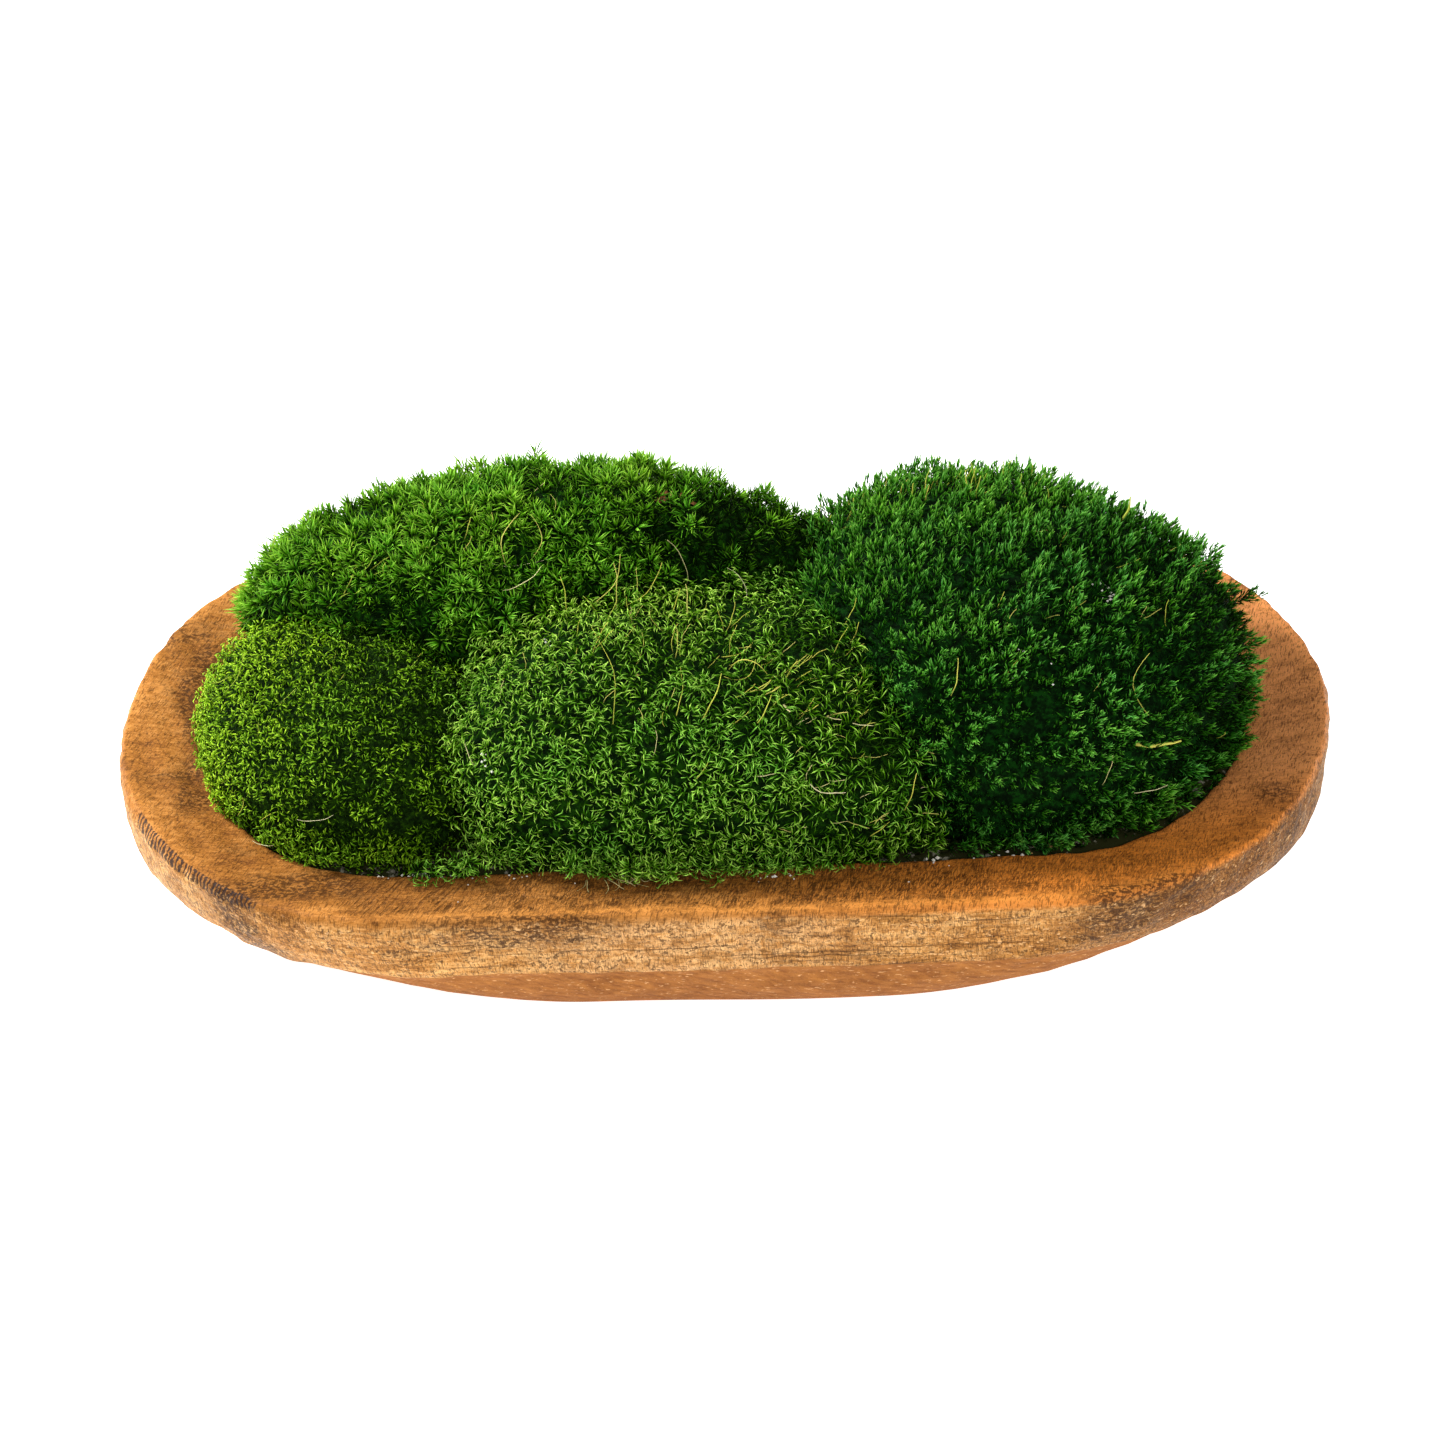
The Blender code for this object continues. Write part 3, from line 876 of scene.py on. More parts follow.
    def material(self) -> Material:
        """Grain along the bowl, saw marks across the rim, a worn ridge with a painted highlight, a red
        right rim that is partly painted light, and pits and cracks on the band.
        """
        wood = Shader("stained_wood", roughness=0.5, specular=0.10)
        read = self.read(wood)
        colour = self.red_stain_and_painted_light(wood, read, self.stained(wood, read))
        lines = self.saw_lines(wood, read)
        colour = wood.mix(wood.times(lines, self.saw_dark), colour, self.stain)
        colour = self.ticked(wood, read, colour)
        colour = wood.mix(self.blotches(wood, read), colour, self.stain)
        teeth = self.notch_lines(wood, read)
        colour = wood.mix(wood.times(teeth, self.notch_dark), colour, self.notch)
        hurt = self.hurts(wood, read)
        colour = wood.mix(wood.times(hurt, self.hurt_dark), colour, self.stain)
        chips = wood.times(wood.flecks(self.chip), wood.maths("ADD", read.band, read.under))
        colour = wood.mix(wood.times(chips, self.chip_pale), colour, self.pale)

        relief = wood.blend((read.mottle, 0.45), (read.grain, 0.45), (read.fibre, 0.22), (read.fine, 0.16))
        dents = wood.maths("MAXIMUM", wood.maths("MAXIMUM", lines, hurt), teeth)
        normal = wood.bump(relief, 0.0009, 0.6)
        normal = wood.bump(wood.maths("SUBTRACT", 1.0, dents), 0.0006, 0.8, normal)
        rough = wood.blend((wood.span(read.tone, 0.40, 0.60, 0.64, 0.50), 1.0), (read.under, 0.25))
        return wood.finish(colour, normal, rough)


@dataclass
class CarvedBowl:
    """The bowl's finished surface: a profile carried round an outline of straight sides and round ends.

    A field that ends in rows counts the profile's rows: 0 to 6 run from the base up to the
    ridge, 7 to 10 round it, 11 to 13 lie on the rim face and 14 to 20 in the hollow. A
    stain is its place, its half length, its half width and its strength.
    """

    sizes: BowlSizes = BOWL
    end_points: int = 180
    side_points: int = 64
    steps: int = 4
    rim_shares: tuple[float, ...] = (0.35, 0.60, 0.82)
    hollow_shares: tuple[float, ...] = (0.0, 0.12, 0.35, 0.62, 0.84, 0.96, 1.0)
    wander: float = 0.00030
    tool_marks: float = 0.00014
    band_marks: float = 0.00016
    carved_rows: Pair = (4.0, 5.5)
    carved_end_rows: Pair = (8.0, 9.5)
    smooth_end_rows: Pair = (14.0, 15.5)
    band_rows: Pair = (3.6, 4.6)
    band_end_rows: Pair = (7.0, 8.6)
    face_rows: Pair = (9.5, 10.5)
    notch_rows: Pair = (6.6, 7.6)
    notch_end_rows: Pair = (8.8, 9.6)
    ridge_row: float = 9.4
    ridge_half_rows: float = 1.3
    notch_reach: float = 0.010
    notches: tuple[Pair, ...] = (
        (-0.189, -0.058),
        (-0.179, -0.073),
        (-0.168, -0.085),
        (-0.157, -0.093),
    )
    stains: tuple[tuple[float, float, float, float, float], ...] = (
        (-0.190, 0.050, 0.010, 0.016, 0.7),
        (-0.181, 0.018, 0.008, 0.014, 0.9),
        (-0.190, -0.028, 0.010, 0.006, 0.6),
        (-0.172, -0.040, 0.008, 0.007, 0.6),
        (-0.158, -0.064, 0.010, 0.008, 0.6),
        (-0.134, -0.084, 0.022, 0.009, 1.5),
        (-0.176, 0.030, 0.007, 0.030, 0.9),
        (-0.176, -0.020, 0.007, 0.030, 0.8),
        (-0.162, -0.089, 0.016, 0.006, 1.0),
        (0.178, -0.055, 0.008, 0.010, 0.8),
        (0.192, -0.070, 0.010, 0.014, 1.3),
        (0.178, -0.086, 0.014, 0.009, 1.4),
        (0.156, -0.098, 0.018, 0.007, 1.4),
        (0.128, -0.104, 0.020, 0.006, 1.3),
        (0.201, -0.046, 0.005, 0.014, 0.9),
        (0.092, -0.096, 0.012, 0.005, 0.6),
        (-0.078, -0.107, 0.030, 0.005, 0.8),
        (-0.050, -0.108, 0.016, 0.004, 0.8),
        (0.014, -0.108, 0.006, 0.005, 0.9),
        (0.186, 0.062, 0.012, 0.012, 0.7),
        (-0.060, 0.098, 0.030, 0.006, 0.7),
        (0.080, 0.100, 0.026, 0.007, 0.8),
    )

    def profile(self) -> Array:
        """Rows of half length, half width, half straight stretch and height, from base to floor."""
        s = self.sizes
        ends, sides, straight = s.length / 2, s.width / 2, s.side_straight / 2
        top = s.rim_height
        rows = [
            (0.1502, 0.0688, 0.0483, 0.0),
            (0.1518, 0.0704, 0.0483, 0.0008),
            (0.1765, 0.0860, 0.0650, 0.0195),
            (0.1975, 0.0976, 0.0830, 0.0375),
            (0.2033, sides - 0.0066, 0.0870, s.band_foot),
            (0.2037, sides - 0.0060, 0.0890, 0.0434),
            (ends, sides - 0.0030, straight, 0.0560),
        ]
        rounding = ((0.0, 0.2, 2.0), (0.3, 0.3, 0.8), (1.0, 1.0, 0.0), (2.2, 2.2, 0.1))
        for at_ends, at_sides, drop in rounding:
            bend = s.edge_round
            rows.append((ends - at_ends * bend, sides - at_sides * bend, straight, top - drop * bend))
        for share in self.rim_shares:
            inward, aside = share * s.face_at_ends, share * s.face_at_sides
            rows.append((ends - inward, sides - aside, straight, s.rim_face(share)))
        edge = top - s.face_drop
        for share in self.hollow_shares:
            curve = 1 - math.sqrt(1 - 0.98 * share**2.4)
            draw_in = 0.060 * curve + 0.006 * share
            inner, aside = ends - s.face_at_ends - draw_in, sides - s.face_at_sides - 0.62 * draw_in
            rows.append((inner, aside, straight, edge - (edge - s.floor_height) * share))
        return np.array(rows)

    def outline(self) -> tuple[Array, Array, Array]:
        """The shares of the straight stretch, of the rounded end and of the width at each place round."""
        turn = math.pi * (np.arange(self.end_points) / self.end_points - 0.5)
        along = 1 - 2 * np.arange(self.side_points) / self.side_points
        still = np.zeros(self.side_points)
        half = (
            np.concatenate([np.ones(self.end_points), along]),
            np.concatenate([np.cos(turn), still]),
            np.concatenate([np.sin(turn), still + 1]),
        )
        return tuple(np.concatenate([part, -part]) for part in half)

    def surface(self) -> tuple[Array, Array]:
        """The grid of points and, for each ring, its place among the profile's rows.

        Each ring is x = straight share * S + end share * (L - S) and y = width share * W,
        moved by the carving. The underside then moves with the base, and every point moves
        along its normal by smooth noise.
        """
        knots = self.profile()
        rows = eased_rows(knots, self.steps)
        at = np.arange(len(rows)) / self.steps
        straight, end, across = self.outline()
        x = rows[:, 2:3] * straight + (rows[:, 0:1] - rows[:, 2:3]) * end
        y = rows[:, 1:2] * across
        grow = self.sizes.carving(x, y)
        z = np.broadcast_to(rows[:, 3:4], x.shape)
        x, y = x * grow, y * grow
        foot = np.where(at[:, None] < 5, np.maximum(1 - z / self.sizes.band_foot, 0.0), 0.0)
        y = y - foot * self.sizes.base_skew * x
        x = x + foot * self.sizes.base_shift
        grid = np.stack([x, y, z], axis=-1)
        on = np.roll(grid, -1, axis=1) - np.roll(grid, 1, axis=1)
        normal = unit(np.cross(on, np.gradient(grid, axis=0)))
        flat = grid.reshape(-1, 3)
        relief = self.wander * waves(flat, 0.055, 31) + self.tool_marks * waves(flat, 0.013, 32)
        relief = relief.reshape(z.shape)
        carved = smooth(at[:, None], *self.carved_rows) * fading(at[:, None], *self.carved_end_rows)
        relief = relief + carved * self.band_marks * waves(flat, 0.0075, 33).reshape(z.shape)
        relief = relief * smooth(z, 0.0012, 0.010) * fading(at[:, None], *self.smooth_end_rows)
        return grid + normal * relief[..., None], at

    def marks(self, grid: Array, at: Array) -> dict[str, Array]:
        """Where each kind of wear lies, for the finish to read.

        Args:
            grid: the finished grid of points.
            at: each ring's place among the profile's rows.

        Returns:
            Regions: band, underside and ridge, the ridge being wear and a painted highlight. Marks: stain,
                saw marks and notches.
        """
        x, y = grid[..., 0], grid[..., 1]
        ring = np.broadcast_to(at[:, None], x.shape)
        under = 1 - smooth(ring, *self.band_rows)
        band = smooth(ring, *self.band_rows) * (1 - smooth(ring, *self.band_end_rows))
        # The ridge share is wear and a painted highlight, strongest on the front ridge.
        ridge = np.exp(-(((ring - self.ridge_row) / self.ridge_half_rows) ** 2))
        ridge *= 0.30 + 0.70 * smooth(-y, 0.085, 0.103) * smooth(x, -0.110, -0.080)
        stain = sum(weight * blob(x, y, (a, b), long, wide) for a, b, long, wide, weight in self.stains)
        face = smooth(ring, *self.face_rows)
        front = smooth(-y, 0.070, 0.084) * smooth(x, -0.128, -0.112) * (1 - 0.35 * smooth(x, 0.06, 0.12))
        behind = 0.7 * smooth(y, 0.078, 0.088)
        saw = face * np.maximum(0.22, np.maximum(front, behind))
        lip = 0.40 * band
        notch = smooth(ring, *self.notch_rows) * (1 - smooth(ring, *self.notch_end_rows))
        notch = notch * sum(blob(x, y, spot, self.notch_reach, self.notch_reach) for spot in self.notches)
        shade = np.stack([stain * (0.4 + 0.6 * (1 - under)), np.maximum(saw, lip), notch], axis=-1)
        region = np.stack([band, under, ridge], axis=-1)

        def with_poles(values: Array) -> Array:
            """One row a vertex, with the two poles' rows at the end."""
            return np.concatenate([values.reshape(-1, 3), values[0, :1], values[-1, :1]])

        return {"regions": with_poles(region), "marks": with_poles(shade)}

    def build(self) -> Piece:
        """Makes the bowl in place of its plain solid."""
        grid, at = self.surface()
        points, faces, uv = close_grid(grid)
        wood = CarvedWood().material()
        piece = mesh_piece("carved_bowl", points, faces, uv, wood, marks=self.marks(grid, at))
        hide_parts("dough_bowl")
        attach(piece, "root")
        return piece


# The foam


@dataclass(frozen=True)
class DryFoam:
    """Dry grey-white foam, with fine open cells, mixed more than half with dark green-brown."""

    light: Colour = (0.50, 0.46, 0.36)
    green_brown: Colour = (0.020, 0.022, 0.006)

    def material(self) -> Material:
        """Foam colour mixed with dark green-brown by noise, over a fine cell bump."""
        foam = Shader("dry_foam", roughness=0.95, specular=0.05)
        where = foam.place()
        cloud = foam.noise(where, 240.0, 4.0, 0.7)
        cells = foam.noise(where, 1600.0, 1.0, 0.5)
        dark_share = foam.span(cloud, 0.34, 0.44, 0.55, 1.0)
        return foam.finish(foam.mix(dark_share, self.light, self.green_brown), foam.bump(cells, 0.0004, 0.6))


# The moss


class Habit(Enum):
    """The ways a moss grows, each with the form of its shoots."""

    STARRY = "starry"
    CURLY = "curly"
    HOOKED = "hooked"
    FLAMY = "flamy"


@dataclass(frozen=True)
class ShootForm:
    """The form of one kind of shoot. Lengths are metres and angles degrees.

    A leaf is a thin curl, or else a broader blade.

    Leaves grow along the stem, from cushion metres beside it. They open from the first
    angle at its foot to the second at its top. Each turns by about curl radians over its
    length: outward from the stem, back down it and any way at all, in these shares.
    """

    spacing: float
    leaves: int
    leaf_length: float
    leaf_width: float
    thin: bool
    stem: float
    cushion: float
    sunk: float
    opening: Pair
    curl: float
    outward: float
    droop: float
    wayward: float
    straying: float


FORMS: dict[Habit, ShootForm] = {
    Habit.STARRY: ShootForm(
        spacing=0.0047, leaves=31, leaf_length=0.0056, leaf_width=0.00058, thin=False,
        stem=0.0048, cushion=0.0004, sunk=0.0028, opening=(80, 10),
        curl=0.56, outward=0.7, droop=0.2, wayward=0.9, straying=0.30,
    ),
    Habit.CURLY: ShootForm(
        spacing=0.0034, leaves=13, leaf_length=0.0032, leaf_width=0.00037, thin=True,
        stem=0.0028, cushion=0.0007, sunk=0.0014, opening=(78, 8),
        curl=2.7, outward=0.5, droop=0.5, wayward=1.0, straying=0.26,
    ),
    Habit.HOOKED: ShootForm(
        spacing=0.0044, leaves=18, leaf_length=0.0048, leaf_width=0.00032, thin=True,
        stem=0.0042, cushion=0.0006, sunk=0.0020, opening=(76, 8),
        curl=2.8, outward=0.5, droop=0.5, wayward=1.0, straying=0.30,
    ),
    Habit.FLAMY: ShootForm(
        spacing=0.0040, leaves=22, leaf_length=0.0034, leaf_width=0.00056, thin=False,
        stem=0.0062, cushion=0.0004, sunk=0.0026, opening=(64, 10),
        curl=0.9, outward=-0.8, droop=-0.1, wayward=0.8, straying=0.26,
    ),
}


@dataclass(frozen=True)
class MossGreen:
    """A moss's colours from a leaf's foot to its tip, for its coolest and its warmest leaves. The dark foot
    is partly painted shade low among the shoots, and the pale tips are partly painted highlights.
    """

    deep: Colour
    cool: Colour
    cool_tip: Colour
    warm: Colour
    warm_tip: Colour

    def leaf_material(self, name: str) -> Material:
        """Leaf colour by the leaf's own map: tint across, foot to tip upward.

        Args:
            name: the material's name.

        Returns:
            The finished material.
        """
        leaf = Shader(name, roughness=0.50, specular=0.10)
        leaf.main.inputs["Specular Tint"].default_value = (0.70, 1.0, 0.15, 1.0)
        tint, along, _ = leaf.chart()
        # The near-black foot of the ramp is painted shade; the pale tip colours are partly painted
        # highlights.
        foot = ((0.02, tuple(0.5 * part for part in self.deep)), (0.20, self.deep))
        cool = leaf.ramp(along, (*foot, (0.44, self.cool), (0.78, self.cool_tip)))
        warm = leaf.ramp(along, (*foot, (0.44, self.warm), (0.78, self.warm_tip)))
        return leaf.finish(leaf.mix(tint, cool, warm))

    def mat_material(self, name: str) -> Material:
        """The dark mat of old growth under the shoots, kept near black also as painted shade in the gaps
        between them.

        Args:
            name: the material's name.

        Returns:
            The finished material.
        """
        mat = Shader(name, roughness=0.95, specular=0.05)
        where = mat.place()
        cloud = mat.noise(where, 420.0, 3.0, 0.7)
        # Painted shade: the mat's colours are near black, so the gaps between the shoots read dark.
        low = tuple(0.4 * part for part in self.deep)
        mossy = tuple(0.30 * part for part in self.cool)
        colour = mat.ramp(cloud, ((0.40, low), (0.50, self.deep), (0.60, mossy)))
        return mat.finish(colour, mat.bump(cloud, 0.0012, 0.9))


@dataclass(frozen=True)
class Patch:
    """A bell-shaped patch of a clump that grows a little differently from the rest. Its vigour sizes the
    shoots and also paints light or shade on their leaves.
    """

    at: Pair
    long: float
    wide: float
    warmth: float = 0.0
    # Painted light or shade: vigour lightens or darkens the patch's leaves, as well as sizing its shoots.
    vigour_and_light: float = 0.0
    combed: float = 0.0
    sunk: float = 0.0

    def over(self, x: Array, y: Array) -> Array:
        """The patch's strength at each place."""
        return blob(x, y, self.at, self.long, self.wide)


@dataclass(frozen=True)
class Sprig:
    """A few long shoots that hang or stick out of a clump, spread along x."""

    foot: Vector
    axis: Vector
    spread: float
    count: int


@dataclass
class Clump:
    """One clump of moss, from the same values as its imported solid."""

    name: str
    slot: str
    centre: Pair
    half_size: Pair
    fullness: tuple[float, ...]
    top: float
    overhang: float
    swells: tuple[tuple[float, float, float, float, float], ...]
    habit: Habit
    lean: Vector
    green: MossGreen
    seed: int
    patches: tuple[Patch, ...] = ()
    tuft_size: float = 0.011
    tuft_height: float = 0.0012
    foot_shade: float = 0.1
    sprigs: tuple[Sprig, ...] = ()

    wall_share: float = 0.34
    crown_power: float = 2.3
    corner_power: float = 8

    def stretch(self, turn: Array) -> Array:
        """The outline's stretch: the smooth periodic wave through the eight values of fullness.

        Args:
            turn: directions from the centre, in radians.

        Returns:
            The stretch in each direction.
        """
        total = np.zeros_like(turn)
        for i, value in enumerate(self.fullness):
            away = turn - i * math.pi / 4
            weight = 1 + 2 * sum(np.cos(k * away) for k in (1, 2, 3)) + np.cos(4 * away)
            total += value * weight / 8
        return total

    def share(self, x: Array, y: Array) -> Array:
        """0 at the centre and 1 on the outline, the clump's own or the rim's, whichever is nearer.

        Args:
            x: places along the bowl.
            y: places across it.

        Returns:
            The share at each place.
        """
        u = (x - self.centre[0]) / self.half_size[0]
        v = (y - self.centre[1]) / self.half_size[1]
        own = np.hypot(u, v) / self.stretch(np.arctan2(v, u))
        rim = BOWL.rim_share(x, y) / (1 + self.overhang)
        return (own**self.corner_power + rim**self.corner_power) ** (1 / self.corner_power)

    def dome(self, x: Array, y: Array) -> Array:
        """Height of the clump's surface: edge + rise * (0.34 + 0.66 sqrt(1 - share^2.3)) + swells.

        Args:
            x: places along the bowl.
            y: places across it.

        Returns:
            The height at each place.
        """
        share = np.minimum(self.share(x, y), 1.0)
        edge = BOWL.rim_height - BOWL.face_drop
        rise = self.wall_share + (1 - self.wall_share) * np.sqrt(1 - share**self.crown_power)
        height = edge + (self.top - edge) * rise
        for at_x, at_y, long, wide, swell in self.swells:
            height = height + swell * blob(x, y, (at_x, at_y), long, wide)
        return height


# A patch's vigour paints light on lit flanks and tops, and shade in hollows and on shaded flanks.
CLUMPS: tuple[Clump, ...] = (
    Clump(
        name="moss_back_left",
        slot="mid_green_moss",
        centre=(-0.062, 0.032), half_size=(0.104, 0.052),
        fullness=(1.08, 1.05, 1.00, 1.00, 0.99, 1.00, 1.02, 1.00),
        top=0.1360, overhang=0.02,
        swells=(
            (0.010, 0.058, 0.030, 0.008, -0.005),
            (-0.050, 0.046, 0.038, 0.035, 0.007),
            (-0.012, 0.022, 0.022, 0.012, 0.003),
        ),
        habit=Habit.STARRY, lean=(-0.05, -0.05, 0.35),
        green=MossGreen(
            deep=(0.003, 0.016, 0.001),
            cool=(0.028, 0.180, 0.003), cool_tip=(0.180, 0.560, 0.045),
            warm=(0.130, 0.340, 0.004), warm_tip=(0.520, 0.840, 0.080),
        ),
        seed=11,
        patches=(
            Patch((-0.080, 0.016), 0.034, 0.014, warmth=0.15, vigour_and_light=0.10),
            Patch((-0.060, 0.055), 0.070, 0.016, warmth=0.22),
            Patch((-0.014, 0.006), 0.034, 0.014, vigour_and_light=-0.30),
            Patch((0.006, 0.022), 0.024, 0.018, vigour_and_light=-0.45),
            Patch((-0.100, -0.004), 0.022, 0.012, warmth=-0.10, vigour_and_light=-0.15),
            Patch((-0.140, 0.030), 0.030, 0.030, warmth=0.10, vigour_and_light=0.12),
            Patch((-0.158, 0.050), 0.024, 0.024, sunk=0.0030),
            Patch((-0.090, 0.030), 0.120, 0.080, vigour_and_light=0.09),
            Patch((0.020, 0.062), 0.020, 0.014, sunk=0.0025),
        ),
        tuft_size=0.017, tuft_height=0.0014, foot_shade=0.16,
        sprigs=(Sprig((-0.163, 0.0310, 0.0670), (-0.50, -0.20, 0.80), 0.004, 7),),
    ),
    Clump(
        name="moss_front_left",
        slot="yellow_green_moss",
        centre=(-0.126, -0.013), half_size=(0.055, 0.064),
        fullness=(1.03, 1.14, 1.00, 0.94, 1.00, 1.05, 1.00, 1.12),
        top=0.1120, overhang=0.02,
        swells=(),
        habit=Habit.CURLY, lean=(-0.05, -0.05, 0.25),
        green=MossGreen(
            deep=(0.005, 0.018, 0.001),
            cool=(0.042, 0.140, 0.002), cool_tip=(0.220, 0.500, 0.030),
            warm=(0.160, 0.350, 0.002), warm_tip=(0.600, 0.880, 0.050),
        ),
        seed=12,
        patches=(
            Patch((-0.162, -0.010), 0.022, 0.050, warmth=0.32, vigour_and_light=0.34),
            Patch((-0.128, 0.010), 0.040, 0.016, warmth=0.20, vigour_and_light=0.05),
            Patch((-0.104, -0.040), 0.032, 0.050, warmth=-0.12, vigour_and_light=-0.28),
            Patch((-0.186, -0.010), 0.012, 0.050, sunk=0.0018),
            Patch((-0.130, -0.020), 0.080, 0.080, vigour_and_light=0.16),
            Patch((-0.134, -0.078), 0.034, 0.012, sunk=0.0022),
        ),
        tuft_size=0.008, tuft_height=0.0007, foot_shade=0.10,
        sprigs=(
            Sprig((-0.120, -0.0735, 0.0715), (-0.10, -0.60, 0.50), 0.014, 16),
            Sprig((-0.167, 0.0250, 0.0680), (-0.40, 0.20, 0.90), 0.004, 9),
        ),
    ),
    Clump(
        name="moss_front_centre",
        slot="bright_green_moss",
        centre=(-0.008, -0.026), half_size=(0.087, 0.062),
        fullness=(1.07, 1.02, 0.95, 1.08, 0.97, 1.12, 1.00, 1.20),
        top=0.1210, overhang=0.05,
        swells=((-0.052, -0.016, 0.026, 0.026, 0.004),),
        habit=Habit.HOOKED, lean=(0.10, -0.05, 0.30),
        green=MossGreen(
            deep=(0.003, 0.016, 0.001),
            cool=(0.026, 0.140, 0.002), cool_tip=(0.230, 0.600, 0.070),
            warm=(0.100, 0.280, 0.002), warm_tip=(0.640, 0.920, 0.140),
        ),
        seed=13,
        patches=(
            Patch((-0.040, -0.014), 0.050, 0.018, warmth=0.50, vigour_and_light=0.22),
            Patch((-0.074, -0.045), 0.020, 0.040, warmth=0.12, vigour_and_light=0.42),
            Patch((-0.026, -0.060), 0.008, 0.008, warmth=-0.30, vigour_and_light=-0.15),
            Patch((0.050, -0.052), 0.036, 0.030, warmth=0.05, vigour_and_light=-0.14, combed=0.9),
            Patch((-0.026, -0.082), 0.050, 0.014, vigour_and_light=0.36, sunk=-0.0004),
            Patch((0.034, -0.034), 0.056, 0.050, vigour_and_light=-0.14),
            Patch((-0.040, -0.060), 0.080, 0.060, vigour_and_light=0.18),
        ),
        tuft_size=0.009, tuft_height=0.0015, foot_shade=-0.08,
        sprigs=(
            Sprig((-0.019, -0.0850, 0.0735), (0.05, -0.80, -0.50), 0.015, 24),
            Sprig((-0.050, -0.0840, 0.0735), (-0.10, -0.80, -0.40), 0.004, 5),
            Sprig((0.005, -0.0860, 0.0730), (0.30, -0.80, -0.50), 0.003, 4),
            Sprig((0.034, -0.0860, 0.0730), (0.30, -0.80, -0.40), 0.003, 4),
            Sprig((-0.088, -0.0815, 0.0710), (0.0, -0.60, 0.50), 0.010, 12),
        ),
    ),
    Clump(
        name="moss_back_right",
        slot="dark_green_moss",
        centre=(0.098, 0.004), half_size=(0.082, 0.078),
        fullness=(1.07, 0.87, 1.00, 1.08, 1.02, 1.04, 1.08, 1.02),
        top=0.1340, overhang=0.03,
        swells=((0.148, 0.045, 0.026, 0.026, -0.004),),
        habit=Habit.FLAMY, lean=(0.40, 0.10, 0.40),
        green=MossGreen(
            deep=(0.0015, 0.012, 0.001),
            cool=(0.011, 0.115, 0.007), cool_tip=(0.110, 0.420, 0.085),
            warm=(0.045, 0.230, 0.004), warm_tip=(0.280, 0.640, 0.060),
        ),
        seed=14,
        patches=(
            Patch((0.080, 0.040), 0.070, 0.030, warmth=0.28, vigour_and_light=0.18),
            Patch((0.048, 0.010), 0.024, 0.040, warmth=0.20, vigour_and_light=0.26),
            Patch((0.080, 0.010), 0.060, 0.050, vigour_and_light=0.06),
            Patch((0.164, -0.026), 0.028, 0.055, vigour_and_light=-0.26),
            Patch((0.055, -0.045), 0.012, 0.024, vigour_and_light=-0.14),
            Patch((0.166, 0.022), 0.014, 0.014, sunk=0.0034),
            Patch((0.036, 0.056), 0.018, 0.018, sunk=0.0022),
            Patch((0.170, -0.050), 0.020, 0.016, sunk=0.0030),
            Patch((0.185, 0.002), 0.010, 0.030, sunk=0.0015),
        ),
        tuft_size=0.012, tuft_height=0.0014, foot_shade=0.04,
        sprigs=(
            Sprig((0.172, 0.004, 0.106), (1.0, 0.10, 0.45), 0.006, 9),
            Sprig((0.090, -0.079, 0.0715), (0.2, -0.80, 0.10), 0.016, 12),
            Sprig((0.112, -0.0755, 0.0715), (0.3, -0.75, 0.15), 0.007, 8),
            Sprig((0.126, -0.0705, 0.0715), (0.4, -0.70, 0.15), 0.007, 8),
            Sprig((0.139, -0.0635, 0.0715), (0.6, -0.60, 0.15), 0.006, 8),
        ),
    ),
)


